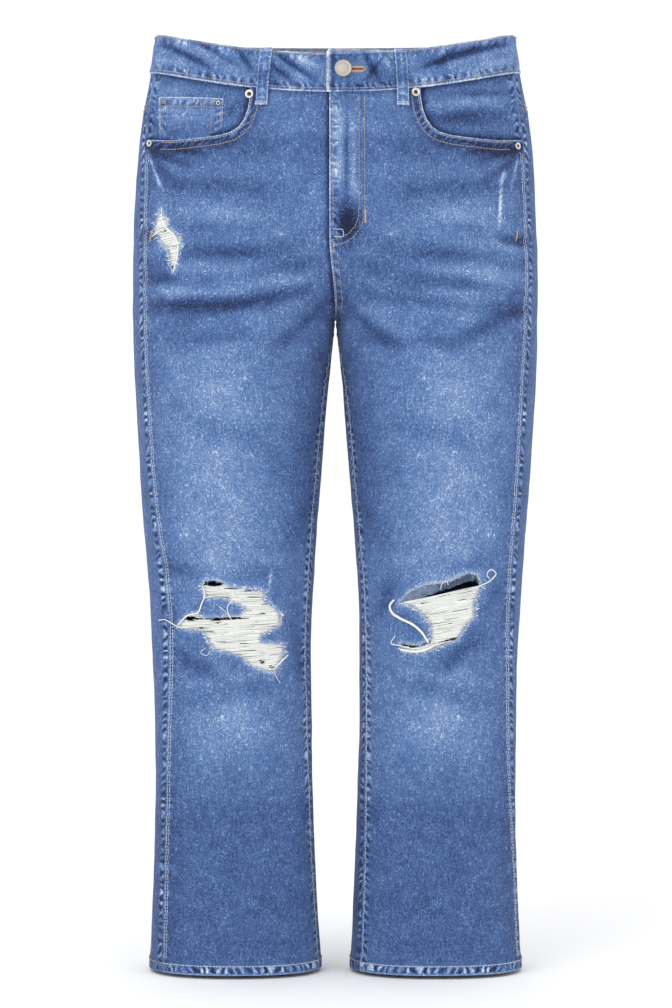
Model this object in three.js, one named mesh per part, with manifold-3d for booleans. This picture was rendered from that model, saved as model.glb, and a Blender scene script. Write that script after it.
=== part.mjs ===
// Women's high-rise ripped jeans, cropped at the ankle with a slight kick flare, standing hollow as worn.
// Units are millimetres and +Z is up. The wearer faces -Y, so the wearer's right side is -X.
// The origin is the centre of the waist, level with the top of the waistband at the side seams.
// Every cloth piece is a wall laid on one body surface, which blends an oval torso into two oval legs.
import * as THREE from 'three';
import { mergeVertices } from 'three/addons/utils/BufferGeometryUtils.js';
import Module from 'manifold-3d';

const wasm = await Module();
wasm.setup();

// Driving dimensions.
const DENIM = 1.2;           // one layer of 12 oz denim
const SEAM_GAP = 0.5;        // clearance between pieces that are sewn together
const ROUNDNESS = 2.3;       // exponent of the superellipse sections: 2 is an ellipse
const HEM_LEVEL = -967;      // bottom of the hems
const HEM_DEPTH = 11;        // height of the folded hem
const HEM_EXTRA = 0.5;       // how much further out and in the folded hem stands
const RISE_TOP = -215;       // where the centre seams start to curve under the crotch
const CROTCH = -296;         // lowest point of the centre seams
const THIGH_TOP = -180;      // where the torso starts to part into thighs
const THIGH_FULL = -350;     // where each thigh is its own oval
const CENTRE_REACH = 6;      // the higher, the closer to its seam the curve under the crotch stays
const FLY_OFFSET = 6;        // how far the fly edge lies to the wearer's right of the centre
const BAND_HEIGHT = 40;      // waistband height
const BAND_WALL = 2.6;       // two layers of denim and their interlining
const BAND_PROUD = 0.7;      // how far the waistband stands out from the panels
const FRONT_DIP = 29.3;      // how far the front of the waist dips below the side seams
const BACK_RISE = 1.5;       // how far the centre back stands above the side seams
const YOKE_CENTRE = 72;      // yoke height at the centre back
const YOKE_SIDE = 38;        // yoke height at the side seam
const FRONT_COLUMNS = 10;
const BACK_COLUMNS = 12;
const LOOP_WIDTH = 12;
const LOOP_WALL = 1.8;
const LOOP_LENGTH = 58.5;
const LOOP_ARCH = 4.8;       // how far a belt loop stands out at its middle

// Girth stations down the body: level, half width, half gap between the legs, depth in front, depth behind,
// then how far the side seam and the inseam lie in front of the outline, on the right leg and on the left.
const STATIONS = [
  [25, 181, 0, 70, 75, 5, 0, 6, 0],
  [0, 186.5, 0, 72, 79, 5, 0, 7, 0],
  [-45, 193, 0, 77, 86, 6, 0, 9, 0],
  [-85, 200.5, 0, 82, 95, 7, 0, 11, 0],
  [-140, 206.5, 0, 88, 105, 11, 0, 12, 0],
  [-225, 210.5, 0, 92, 112, 14, 0, 13, 0],
  [-296, 210.5, 0.4, 91, 104, 15, 0, 14, 0],
  [-370, 207.8, 7.8, 86, 90, 15, 3, 16, 3],
  [-480, 201, 16.5, 75, 76, 16, 5, 15, 5],
  [-600, 192, 24.5, 60, 62, 21, 5, 13, 6],
  [-740, 187.7, 24, 55, 66, 15, 4, 8, 7],
  [-860, 189, 20.4, 58, 65, 14, 3, 4, 9],
  [-967, 193.3, 15, 62, 64, 16, 2, 4, 11],
];
const [HALF, GAP, FRONT, BACK, SIDE_SEAM, INSEAM] = [1, 2, 3, 4, 5, 6];
const LEFT_SEAMS = 2;        // how many columns further on the left leg's seams stand

const DENIM_BLUE = '#5777a9';
const FADED_BLUE = '#6f8ab4';
const DARK_BLUE = '#3f5b8b';
const WEFT_WHITE = '#e2e3de';
const NICKEL = '#bdb8ac';

function clamp01(value) {
  return Math.min(1, Math.max(0, value));
}

function smooth(value) {
  const t = clamp01(value);
  return t * t * (3 - 2 * t);
}

function lerp(a, b, t) {
  return a + (b - a) * t;
}

// A station column at any level, as a cubic through the stations.
function station(column, level) {
  const last = STATIONS.length - 1;
  let i = 0;
  while (i < last - 1 && level < STATIONS[i + 1][0]) {
    i += 1;
  }
  const slope = (k) => {
    const before = STATIONS[Math.max(k - 1, 0)];
    const after = STATIONS[Math.min(k + 1, last)];
    return (after[column] - before[column]) / (after[0] - before[0]);
  };
  const [upper, lower] = [STATIONS[i], STATIONS[i + 1]];
  const span = lower[0] - upper[0];
  const t = (level - upper[0]) / span;
  return (1 + 2 * t) * (1 - t) ** 2 * upper[column] + t * (1 - t) ** 2 * span * slope(i)
    + t * t * (3 - 2 * t) * lower[column] + t * t * (t - 1) * span * slope(i + 1);
}

// The angle of a superellipse at which it stands this share of its half width from its middle.
function angleAt(share) {
  return Math.acos(Math.sign(share) * Math.abs(share) ** (ROUNDNESS / 2));
}

// A point of an oval section. Positive angles are in front of the side, and negative ones behind it.
function oval(middle, half, front, back, angle) {
  const [c, s] = [Math.cos(angle), Math.sin(angle)];
  const depth = s > 0 ? -front : back;
  const across = Math.sign(c) * half * Math.abs(c) ** (2 / ROUNDNESS);
  return [middle + across, depth * Math.abs(s) ** (2 / ROUNDNESS)];
}

// How far a place is into the legs: 0 is all torso and 1 is all leg. f is 0 at the side seam and 1 at the
// centre seam, which follows a quarter oval under the crotch, while the thigh beside it fills out slowly.
function legShare(level, f) {
  const s = clamp01((RISE_TOP - level) / (RISE_TOP - CROTCH));
  const atCentre = 1 - Math.sqrt(1 - s * s);
  const atThigh = smooth((THIGH_TOP - level) / (THIGH_TOP - THIGH_FULL));
  return lerp(atThigh, atCentre, clamp01(f) ** CENTRE_REACH);
}

// Where the fly edge stands at a level, to the wearer's right.
function flyEdge(level) {
  return FLY_OFFSET * smooth((level - CROTCH) / (RISE_TOP - CROTCH));
}

// The arc of a panel at one level. side is -1 for the wearer's right and 1 for the left, and face is 'front'
// or 'back'. The arc runs from the side seam at 0 to the centre seam or inseam at 1, and on past both.
function panelArc(side, face, level, centre = -side * flyEdge(level)) {
  const half = station(HALF, level);
  const gap = Math.max(0, station(GAP, level));
  const shift = side > 0 ? LEFT_SEAMS : 0;
  const sideSeam = station(SIDE_SEAM + shift, level);
  const inseam = Math.max(0, station(INSEAM + shift, level));
  const [front, back] = [station(FRONT, level), station(BACK, level)];
  const legHalf = (half - gap) / 2;
  const legMiddle = (half + gap) / 2;
  const torsoStart = angleAt((half - sideSeam) / half);
  const legStart = angleAt((legHalf - sideSeam) / legHalf);
  const inner = angleAt(-(legHalf - inseam) / legHalf);
  const torsoEnd = face === 'front' ? angleAt(centre / half) : -Math.PI / 2;
  const legEnd = face === 'front' ? inner : inner - 2 * Math.PI;
  return (f) => {
    const share = legShare(level, f);
    const torso = oval(0, half, front, back, lerp(torsoStart, torsoEnd, f));
    const leg = oval(legMiddle, legHalf, front, back, lerp(legStart, legEnd, f));
    return [lerp(torso[0], leg[0], share), lerp(torso[1], leg[1], share)];
  };
}

// The share of the angle at which an arc has run this share of its length.
function evenStep(arc, u) {
  const samples = 72;
  const lengths = [0];
  let before = arc(0);
  for (let i = 1; i <= samples; i += 1) {
    const here = arc(i / samples);
    lengths.push(lengths[i - 1] + Math.hypot(here[0] - before[0], here[1] - before[1]));
    before = here;
  }
  const wanted = u * lengths[samples];
  let i = 1;
  while (i < samples && lengths[i] < wanted) {
    i += 1;
  }
  const within = (wanted - lengths[i - 1]) / (lengths[i] - lengths[i - 1]);
  return { f: (i - 1 + within) / samples, length: lengths[samples] };
}

// One point of a panel's surface with its outward normal.
function surfacePoint(side, face, u, level, centre) {
  const at = (f, z) => {
    const [x, y] = panelArc(side, face, z, centre)(f);
    return new THREE.Vector3(side * x, y, z);
  };
  const arc = panelArc(side, face, level, centre);
  const whole = evenStep(arc, u);
  const atEdge = u === 0 || u === 1;
  const trim = atEdge ? (0.5 - u) * SEAM_GAP / whole.length : 0;
  const f = evenStep(arc, u + trim).f;
  const point = at(f, level);
  const across = at(f + 0.004, level).sub(at(f - 0.004, level));
  const down = at(f, level - 1.5).sub(at(f, level + 1.5));
  const normal = across.cross(down).normalize();
  if (side * (face === 'front' ? 1 : -1) < 0) {
    normal.negate();
  }
  return { point, normal };
}

// The top edge of the waistband, from how far out a point stands and whether it is behind.
function waistTop(side, face, u, centre) {
  const [x, y] = panelArc(side, face, -20, centre)(evenStep(panelArc(side, face, -20, centre), u).f);
  const share = Math.min(1, Math.abs(x) / station(HALF, -20));
  return (y > 0 ? BACK_RISE : -FRONT_DIP) * (1 - share * share);
}

function yokeSeam(side, u) {
  return waistTop(side, 'back', u) - BAND_HEIGHT - lerp(YOKE_SIDE, YOKE_CENTRE, u);
}

// Rows shared by the long panels: the rise in equal turns of its curve, then the leg.
const RISE_ROWS = [0, 15, 30, 45, 60, 75, 90].map(
  (degrees) => RISE_TOP + (CROTCH - RISE_TOP) * Math.sin(degrees * Math.PI / 180));
const LEG_ROWS = [
  -311, -338, -372, -412, -452, -492, -532, -568, -602, -636, -672, -710, -750, -790, -830, -870, -912,
];
const HEM_ROWS = [HEM_LEVEL + HEM_DEPTH + 0.6, HEM_LEVEL + HEM_DEPTH, HEM_LEVEL];
const LOWER_ROWS = [-150, -184, ...RISE_ROWS, ...LEG_ROWS, ...HEM_ROWS];

// A grid of surface points. levelAt gives each row's level at each column.
function surfaceGrid(side, face, columns, rows, levelAt, centre) {
  const grid = [];
  for (let row = 0; row < rows; row += 1) {
    const line = [];
    for (let column = 0; column <= columns; column += 1) {
      const u = column / columns;
      line.push(surfacePoint(side, face, u, levelAt(row, u), centre));
    }
    grid.push(line);
  }
  return grid;
}

function longPanelGrid(side, face) {
  const columns = face === 'front' ? FRONT_COLUMNS : BACK_COLUMNS;
  const seamAt = (u) => (face === 'front' ? waistTop(side, face, u) - BAND_HEIGHT : yokeSeam(side, u));
  const topAt = (u) => seamAt(u) - SEAM_GAP;
  const levelAt = (row, u) => {
    if (row === 0) {
      return topAt(u);
    }
    return row === 1 ? (topAt(u) + LOWER_ROWS[0]) / 2 : LOWER_ROWS[row - 2];
  };
  return surfaceGrid(side, face, columns, LOWER_ROWS.length + 2, levelAt);
}

// A closed wall on a grid, between two distances from it. Distances may be functions of the point.
function wall(grid, outer, inner) {
  const rows = grid.length;
  const columns = grid[0].length;
  const positions = [];
  const distance = (value, point) => (typeof value === 'function' ? value(point) : value);
  for (const layer of [outer, inner]) {
    for (const line of grid) {
      for (const { point, normal } of line) {
        const moved = point.clone().addScaledVector(normal, distance(layer, point));
        positions.push(moved.x, moved.y, moved.z);
      }
    }
  }
  const index = [];
  const at = (layer, row, column) => layer * rows * columns + row * columns + column;
  const quad = (a, b, c, d) => index.push(a, b, c, a, c, d);
  for (let row = 0; row < rows - 1; row += 1) {
    for (let column = 0; column < columns - 1; column += 1) {
      quad(at(0, row, column), at(0, row + 1, column), at(0, row + 1, column + 1), at(0, row, column + 1));
      quad(at(1, row, column), at(1, row, column + 1), at(1, row + 1, column + 1), at(1, row + 1, column));
    }
    quad(at(0, row, 0), at(1, row, 0), at(1, row + 1, 0), at(0, row + 1, 0));
    const end = columns - 1;
    quad(at(0, row, end), at(0, row + 1, end), at(1, row + 1, end), at(1, row, end));
  }
  for (let column = 0; column < columns - 1; column += 1) {
    quad(at(0, 0, column), at(0, 0, column + 1), at(1, 0, column + 1), at(1, 0, column));
    const end = rows - 1;
    quad(at(0, end, column), at(1, end, column), at(1, end, column + 1), at(0, end, column + 1));
  }
  const geometry = new THREE.BufferGeometry();
  geometry.setAttribute('position', new THREE.Float32BufferAttribute(positions, 3));
  geometry.setIndex(index);
  return facingOut(geometry);
}

function volumeOf(geometry) {
  const place = geometry.attributes.position;
  const order = geometry.index.array;
  const corner = [new THREE.Vector3(), new THREE.Vector3(), new THREE.Vector3()];
  let sum = 0;
  for (let i = 0; i < order.length; i += 3) {
    corner.forEach((vector, k) => vector.fromBufferAttribute(place, order[i + k]));
    sum += corner[0].dot(corner[1].cross(corner[2])) / 6;
  }
  return sum;
}

function facingOut(geometry) {
  if (volumeOf(geometry) < 0) {
    const order = geometry.index.array;
    for (let i = 0; i < order.length; i += 3) {
      [order[i + 1], order[i + 2]] = [order[i + 2], order[i + 1]];
    }
  }
  return geometry;
}

function toSolid(geometry) {
  const bare = geometry.clone();
  bare.deleteAttribute('normal');
  bare.deleteAttribute('uv');
  const merged = mergeVertices(bare, 1e-4);
  const vertProperties = new Float32Array(merged.attributes.position.array);
  const triVerts = new Uint32Array(merged.index.array);
  return new wasm.Manifold(new wasm.Mesh({ numProp: 3, vertProperties, triVerts }));
}

function toGeometry(solid) {
  const mesh = solid.getMesh();
  const geometry = new THREE.BufferGeometry();
  geometry.setAttribute('position', new THREE.Float32BufferAttribute(mesh.vertProperties, 3));
  geometry.setIndex(Array.from(mesh.triVerts));
  return geometry;
}

// A prism through the garment from front to back, whose outline is given as seen from the front: [x, level].
function prism(outline, near = -250, far = 250) {
  const shape = new THREE.Shape(outline.map(([x, level]) => new THREE.Vector2(x, level)));
  const geometry = new THREE.ExtrudeGeometry(shape, { depth: far - near, bevelEnabled: false });
  geometry.rotateX(Math.PI / 2);
  geometry.translate(0, far, 0);
  return toSolid(facingOut(mergeIndexed(geometry)));
}

function mergeIndexed(geometry) {
  geometry.deleteAttribute('normal');
  geometry.deleteAttribute('uv');
  return mergeVertices(geometry, 1e-4);
}

// An outline drawn in by a distance, each corner along the middle of its two edges.
function drawnIn(outline, distance) {
  const count = outline.length;
  const area = outline.reduce((sum, [x, y], i) => {
    const [nextX, nextY] = outline[(i + 1) % count];
    return sum + x * nextY - nextX * y;
  }, 0);
  const turn = Math.sign(area);
  return outline.map(([x, y], i) => {
    const before = outline[(i + count - 1) % count];
    const after = outline[(i + 1) % count];
    const first = new THREE.Vector2(x - before[0], y - before[1]).normalize();
    const second = new THREE.Vector2(after[0] - x, after[1] - y).normalize();
    const normal = new THREE.Vector2(-first.y - second.y, first.x + second.x).multiplyScalar(turn / 2);
    const length = Math.max(normal.length(), 0.45);
    return [x + normal.x * distance / length ** 2, y + normal.y * distance / length ** 2];
  });
}

const jeans = new THREE.Group();

function addPiece(name, geometry, color, roughness = 0.9, metalness = 0) {
  const material = new THREE.MeshStandardMaterial({ color, roughness, metalness });
  const mesh = new THREE.Mesh(geometry, material);
  mesh.name = name;
  jeans.add(mesh);
  return mesh;
}

// The rips, as seen from the front. The threads that still cross them are drawn inside these outlines.
const KNEE_RIP_RIGHT = [
  [-135, -567], [-111, -571], [-92, -574], [-72, -576], [-73, -585], [-57, -599], [-58, -611], [-76, -620],
  [-76, -628], [-54, -629], [-53, -640], [-63, -658], [-80, -654], [-97, -641], [-123, -634], [-134, -618],
  [-161, -613], [-150, -600], [-133, -592], [-133, -580],
];
const KNEE_RIP_LEFT = [
  [67, -587], [76, -574], [92, -568], [126, -562], [146, -558], [148, -571], [141, -586], [141, -602],
  [131, -612], [125, -624], [107, -631], [91, -638], [71, -637], [66, -629], [86, -629], [99, -624],
  [98, -609], [90, -599], [79, -589],
];
const KNEE_WEFT_LEFT = [
  [76, -587], [147, -571], [140, -586], [140, -602], [130, -611], [124, -623], [107, -630], [100, -624],
  [99, -609], [91, -599],
];
const HIP_RIP_RIGHT = [
  [-178, -186], [-182, -197], [-187, -210], [-175, -222], [-167, -234], [-166, -251], [-161, -234],
  [-158, -220], [-165, -209], [-172, -199],
];
const RIP_CLEARANCE = 0.8;

// The edge of a front pocket's mouth, from the waistband to past the side seam, on the wearer's left.
const MOUTH = [
  [86, -40], [86, -66], [88, -83], [93, -97], [101, -106], [114, -111], [134, -114], [160, -115], [200, -112],
  [215, -111], [215, -40],
];
const FACING_OUTLINE = [[72, -30], [72, -96], [88, -125], [120, -135], [160, -135], [220, -132], [220, -30]];
const COIN_POCKET = [[-114, -74], [-182, -68], [-181, -106], [-150, -111], [-127, -106], [-115, -99]];

function mirrored(outline) {
  return outline.map(([x, level]) => [-x, level]);
}

// Front panels: one piece a leg, with the pocket scoop cut out and the knee ripped, folded at the hem.
function hemmed(distance, outward) {
  return (point) => distance + (point.z < HEM_LEVEL + HEM_DEPTH + 0.3 ? outward * HEM_EXTRA : 0);
}

const frontGrids = {};
for (const [side, name] of [[-1, 'right'], [1, 'left']]) {
  const grid = longPanelGrid(side, 'front');
  frontGrids[side] = grid;
  let panel = toSolid(wall(grid, hemmed(0, 1), hemmed(-DENIM, -1)));
  panel = panel.subtract(prism(side < 0 ? mirrored(MOUTH) : MOUTH));
  panel = panel.subtract(prism(side < 0 ? KNEE_RIP_RIGHT : KNEE_RIP_LEFT));
  if (side < 0) {
    panel = panel.subtract(prism(HIP_RIP_RIGHT));
  }
  addPiece(`front_${name}`, toGeometry(panel), DENIM_BLUE);
}

// Back panels and the yokes above them.
const backGrids = {};
for (const [side, name] of [[-1, 'right'], [1, 'left']]) {
  const grid = longPanelGrid(side, 'back');
  backGrids[side] = grid;
  addPiece(`back_${name}`, wall(grid, hemmed(0, 1), hemmed(-DENIM, -1)), DENIM_BLUE);
  const yokeRows = 3;
  const levelAt = (row, u) => {
    const top = waistTop(side, 'back', u) - BAND_HEIGHT - SEAM_GAP;
    return lerp(top, yokeSeam(side, u), row / (yokeRows - 1));
  };
  const yoke = surfaceGrid(side, 'back', BACK_COLUMNS, yokeRows, levelAt);
  addPiece(`yoke_${name}`, wall(yoke, 0, -DENIM), DENIM_BLUE);
}

// Pocket facings: the cloth behind each front pocket's mouth, one layer in from the panel.
const FACING_OUTER = -DENIM - SEAM_GAP;
for (const [side, name] of [[-1, 'right'], [1, 'left']]) {
  const upper = frontGrids[side].slice(0, 4);
  const outline = side < 0 ? mirrored(FACING_OUTLINE) : FACING_OUTLINE;
  const facing = toSolid(wall(upper, FACING_OUTER, FACING_OUTER - DENIM)).intersect(prism(outline));
  addPiece(`pocket_facing_${name}`, toGeometry(facing), FADED_BLUE);
}

// Coin pocket: a small patch sewn on the right facing, level with the panel round it.
const coinWall = wall(frontGrids[-1].slice(0, 3), FACING_OUTER + SEAM_GAP + 1, FACING_OUTER + SEAM_GAP);
addPiece('coin_pocket', toGeometry(toSolid(coinWall).intersect(prism(COIN_POCKET))), FADED_BLUE);

// White weft threads left across the rips, as one thin plate a rip.
const WEFT_OUTER = -0.1;
function weftPlate(name, side, outline, rows) {
  const plate = toSolid(wall(frontGrids[side].slice(...rows), WEFT_OUTER, WEFT_OUTER - 1));
  addPiece(name, toGeometry(plate.intersect(prism(outline))), WEFT_WHITE);
}
const kneeRows = [15, 24];
weftPlate('weft_knee_right', -1, drawnIn(KNEE_RIP_RIGHT, RIP_CLEARANCE), kneeRows);
weftPlate('weft_knee_left', 1, drawnIn(KNEE_WEFT_LEFT, RIP_CLEARANCE), kneeRows);
weftPlate('weft_hip_right', -1, drawnIn(HIP_RIP_RIGHT, RIP_CLEARANCE), [2, 9]);

// Back pockets: five-sided patches on the seat.
const POCKET_TOP = -128;
const POCKET_BOTTOM = -268;
const POCKET_INNER = 34;
const POCKET_OUTER = 162;
const POCKET_MIDDLE = (POCKET_INNER + POCKET_OUTER) / 2;
const BACK_POCKET = [
  [POCKET_INNER, POCKET_TOP - 8], [POCKET_OUTER, POCKET_TOP], [POCKET_OUTER - 5, POCKET_BOTTOM + 20],
  [POCKET_MIDDLE + 2, POCKET_BOTTOM], [POCKET_INNER + 8, POCKET_BOTTOM + 16],
];
for (const [side, name] of [[-1, 'right'], [1, 'left']]) {
  const seat = backGrids[side].slice(0, 8);
  const outline = side < 0 ? mirrored(BACK_POCKET) : BACK_POCKET;
  const outer = SEAM_GAP + DENIM;
  const pocket = toSolid(wall(seat, outer, SEAM_GAP)).intersect(prism(outline, 20, 250));
  addPiece(`back_pocket_${name}`, toGeometry(pocket), DENIM_BLUE);
}

// Waistband: right front, left front with the button tab, and back. The tab laps over the right front's end.
const TAB_EDGE = 9;          // where the tab ends, to the wearer's right of the centre
const TAB_LIFT = 0.6;        // how much further out the tab lies
const TAB_RAISE = 4.2;       // how much higher the tab's end stands
const TAB_START = 40;        // where the tab begins to lift, on the wearer's left
const UNDERLAP_END = 30;     // where the right front ends under the tab, on the wearer's left

function bandGrid(side, face, columns, centre, raise = () => 0) {
  const rows = 2;
  const levelAt = (row, u) => {
    const top = waistTop(side, face, u, centre);
    return row === 0 ? top + raise(u) : top - BAND_HEIGHT;
  };
  return surfaceGrid(side, face, columns, rows, levelAt, centre);
}

const bandInner = BAND_PROUD - BAND_WALL;
const mainRight = wall(bandGrid(-1, 'front', 9, TAB_EDGE + 1), BAND_PROUD, bandInner);
const underlapGrid = bandGrid(-1, 'front', 12, -UNDERLAP_END);
const underlapOuter = (point) => bandInner + (point.x < -TAB_EDGE + 1 ? 0.3 : -0.55);
const underlapWall = wall(underlapGrid, underlapOuter, bandInner - 2.3);
const underlapReach = [[-40, 40], [-40, -120], [UNDERLAP_END + 5, -120], [UNDERLAP_END + 5, 40]];
const underlap = toSolid(underlapWall).intersect(prism(underlapReach));
addPiece('band_front_right', toGeometry(toSolid(mainRight).add(underlap)), FADED_BLUE);

const tabShare = (point) => 1 - smooth((point.x + TAB_EDGE) / (TAB_START + TAB_EDGE));
const tabOuter = (point) => BAND_PROUD + TAB_LIFT * tabShare(point);
const tabInner = (point) => bandInner + TAB_LIFT * tabShare(point);
const tabRaise = (u) => TAB_RAISE * smooth((u - 0.6) / 0.33);
const BUTTON = { x: 8, level: -46, radius: 8.8 };
const BUTTONHOLE_EYE = 3.1;
const BUTTONHOLE_END = 29;
const BUTTONHOLE_SLOT = 0.9;
const buttonhole = [];
for (let i = 0; i <= 10; i += 1) {
  const turn = (20 + i * 32) * Math.PI / 180;
  const [across, up] = [BUTTONHOLE_EYE * Math.cos(turn), BUTTONHOLE_EYE * Math.sin(turn)];
  buttonhole.push([BUTTON.x + across, BUTTON.level + up]);
}
for (const half of [-BUTTONHOLE_SLOT, BUTTONHOLE_SLOT]) {
  buttonhole.push([BUTTONHOLE_END, BUTTON.level + half]);
}
const tabWall = wall(bandGrid(1, 'front', 14, -TAB_EDGE, tabRaise), tabOuter, tabInner);
addPiece('band_front_left', toGeometry(toSolid(tabWall).subtract(prism(buttonhole, -200, 0))), FADED_BLUE);

function backBandGrid() {
  const right = bandGrid(-1, 'back', 12);
  const left = bandGrid(1, 'back', 12);
  return right.map((line, row) => [...line.slice(0, -1), ...left[row].slice(0, -1).reverse()]);
}
addPiece('band_back', wall(backBandGrid(), BAND_PROUD, bandInner), FADED_BLUE);

// A point on the torso straight in front of, or behind, a place given by x and level.
function torsoPoint(x, level, behind = false) {
  const half = station(HALF, level);
  const depth = behind ? station(BACK, level) : -station(FRONT, level);
  const y = depth * (1 - (Math.abs(x) / half) ** ROUNDNESS) ** (1 / ROUNDNESS);
  return new THREE.Vector3(x, y, level);
}

function torsoNormal(x, level, behind = false) {
  const across = torsoPoint(x + 1, level, behind).sub(torsoPoint(x - 1, level, behind));
  const up = torsoPoint(x, level + 1, behind).sub(torsoPoint(x, level - 1, behind));
  const normal = across.cross(up).normalize();
  return behind ? normal.negate() : normal;
}

// Belt loops: folded strips that stand out from the waistband in an arch, tacked above and below it.
// Each step is how far down from the loop's top, and how far out its inner face stands.
const LOOP_STEPS = [
  [0, 1.3], [6, 1.3], [9, 3.4], [14, LOOP_ARCH], [27, LOOP_ARCH + 0.4], [38, LOOP_ARCH], [46, 3.4], [51, 0.9],
  [LOOP_LENGTH, 0.9],
];
const LOOPS = [
  ['loop_front_right', -69.5, -24, false, -5.3],
  ['loop_front_left', 65.5, -24.5, false, 3.2],
  ['loop_back_right', -98, -0.5, true, 0],
  ['loop_back_left', 98, -0.5, true, 0],
  ['loop_back_centre', 0, 0.7, true, 0],
];
for (const [name, x, top, behind, lean] of LOOPS) {
  const grid = LOOP_STEPS.map(([down]) => {
    const level = top - down;
    const middle = x + lean * down / LOOP_LENGTH;
    return [-LOOP_WIDTH / 2, 0, LOOP_WIDTH / 2].map((across) => ({
      point: torsoPoint(middle + across, level, behind),
      normal: torsoNormal(middle, level, behind),
    }));
  });
  const distances = new Map(LOOP_STEPS.map(([down, out]) => [(top - down).toFixed(3), out]));
  const out = (point) => distances.get(point.z.toFixed(3));
  addPiece(name, wall(grid, (point) => out(point) + LOOP_WALL, out), FADED_BLUE);
}

// Fly: the strip behind it, the closed zip between, and its slider, all inside the left front's edge.
const ZIP_DEPTH = -4.8;
const flyGrid = frontGrids[1].slice(0, 4);
function flyPiece(outer, thickness, outline) {
  return toGeometry(toSolid(wall(flyGrid, outer, outer - thickness)).intersect(prism(outline)));
}
const ZIP_OUTLINE = [[-1, -78], [25, -78], [25, -206], [-1, -206]];
const SHIELD_OUTLINE = [[-5, -76], [31, -76], [31, -195], [20, -209], [-5, -212]];
addPiece('zip', flyPiece(ZIP_DEPTH, 1.4, ZIP_OUTLINE), DARK_BLUE, 0.6);
addPiece('fly_shield', flyPiece(ZIP_DEPTH - 1.4 - SEAM_GAP, DENIM, SHIELD_OUTLINE), DENIM_BLUE);
const SLIDER_OUTLINE = [[8, -80], [16, -80], [17, -86], [15, -106], [9, -106], [7, -86]];
addPiece('zip_slider', flyPiece(ZIP_DEPTH + 2.6, 2.3, SLIDER_OUTLINE), NICKEL, 0.4, 1);

// Round metal parts turned on a lathe and set on the cloth: [radius, height] from the base.
function turned(profile, sides) {
  const points = profile.map(([radius, height]) => new THREE.Vector2(radius, height));
  const geometry = new THREE.LatheGeometry(points, sides);
  geometry.rotateX(Math.PI / 2);
  return facingOut(mergeIndexed(geometry));
}

function setOn(mesh, point, normal, distance) {
  mesh.position.copy(point).addScaledVector(normal, distance);
  mesh.quaternion.setFromUnitVectors(new THREE.Vector3(0, 0, 1), normal);
}

const rivetProfile = (radius) => [
  [0, 0], [radius, 0], [radius, 0.5], [radius * 0.8, 1.1], [radius * 0.45, 1.2], [radius * 0.35, 0.9],
  [radius * 0.28, 1.6], [0, 1.7],
];
const RIVETS = [
  ['rivet_front_right', -87, -71, 4.5, 0.5],
  ['rivet_side_right', -190, -116, 3.7, 1],
  ['rivet_front_left', 81.5, -69, 4.5, 0.5],
  ['rivet_side_left', 187, -119, 3.7, 1],
];
for (const [name, x, level, radius, distance] of RIVETS) {
  const mesh = addPiece(name, turned(rivetProfile(radius), 16), NICKEL, 0.35, 1);
  setOn(mesh, torsoPoint(x, level), torsoNormal(x, level), distance);
}
const coinRivet = addPiece('rivet_coin', turned(rivetProfile(2.2), 12), NICKEL, 0.35, 1);
setOn(coinRivet, torsoPoint(-119, -79), torsoNormal(-119, -79), 0.4);

// Shank button: a domed cap with a raised rim, whose shank passes through the buttonhole's eye.
const SHANK = 3.6;
const buttonProfile = [
  [0, -SHANK], [2.2, -SHANK], [2.2, 0], [BUTTON.radius - 0.8, 0], [BUTTON.radius, 0.8], [BUTTON.radius, 2.2],
  [BUTTON.radius - 0.9, 2.9], [BUTTON.radius - 2, 2.5], [BUTTON.radius - 3.4, 2.8], [0, 3.1],
];
const button = addPiece('button', turned(buttonProfile, 28), NICKEL, 0.4, 1);
const buttonNormal = torsoNormal(BUTTON.x, BUTTON.level);
setOn(button, torsoPoint(BUTTON.x, BUTTON.level), buttonNormal, BAND_PROUD + TAB_LIFT + 1);

export default jeans;
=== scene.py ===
import math
import random

import bpy
import numpy as np
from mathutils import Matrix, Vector, noise
from mathutils.geometry import delaunay_2d_cdt
from mathutils.kdtree import KDTree


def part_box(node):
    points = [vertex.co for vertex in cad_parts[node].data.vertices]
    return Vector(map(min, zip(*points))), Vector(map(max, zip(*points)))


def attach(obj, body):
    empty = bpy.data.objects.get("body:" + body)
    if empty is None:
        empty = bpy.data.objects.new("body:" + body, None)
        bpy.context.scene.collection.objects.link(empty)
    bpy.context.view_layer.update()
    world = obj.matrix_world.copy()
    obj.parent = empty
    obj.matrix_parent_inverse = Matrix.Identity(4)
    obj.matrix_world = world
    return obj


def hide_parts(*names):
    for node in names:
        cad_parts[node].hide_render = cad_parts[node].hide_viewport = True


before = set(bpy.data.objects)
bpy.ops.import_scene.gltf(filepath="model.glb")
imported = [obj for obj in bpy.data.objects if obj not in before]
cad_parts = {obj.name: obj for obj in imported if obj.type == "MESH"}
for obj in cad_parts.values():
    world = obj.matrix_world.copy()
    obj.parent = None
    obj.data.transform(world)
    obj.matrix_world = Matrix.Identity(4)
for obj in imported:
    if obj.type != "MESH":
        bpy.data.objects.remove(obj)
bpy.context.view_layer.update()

# ----------------------------------------------------------------------
# Front panels: one piece of 12 oz stretch denim a leg, cut from waist to hem, with the pocket scoop cut out,
# the knee torn open and the hem folded up. They lie on the form that a wearer fills: an oval torso that parts
# into two oval legs. Lengths are in millimetres, and become metres when a mesh is made.
# ----------------------------------------------------------------------
MM = 0.001
SIDES = {"right": -1, "left": 1}
DENIM_WALL = 1.2
ROUNDNESS = 2.3
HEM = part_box("front_right")[0][2] / MM
HEM_DEPTH = 11
RISE_TOP, CROTCH = -215, -296
THIGH_TOP, THIGH_FULL = -180, -350
FLY_OFFSET = 6
BAND_HEIGHT = 40
FRONT_DIP = 29.3
BACK_RISE = 1.5
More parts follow.
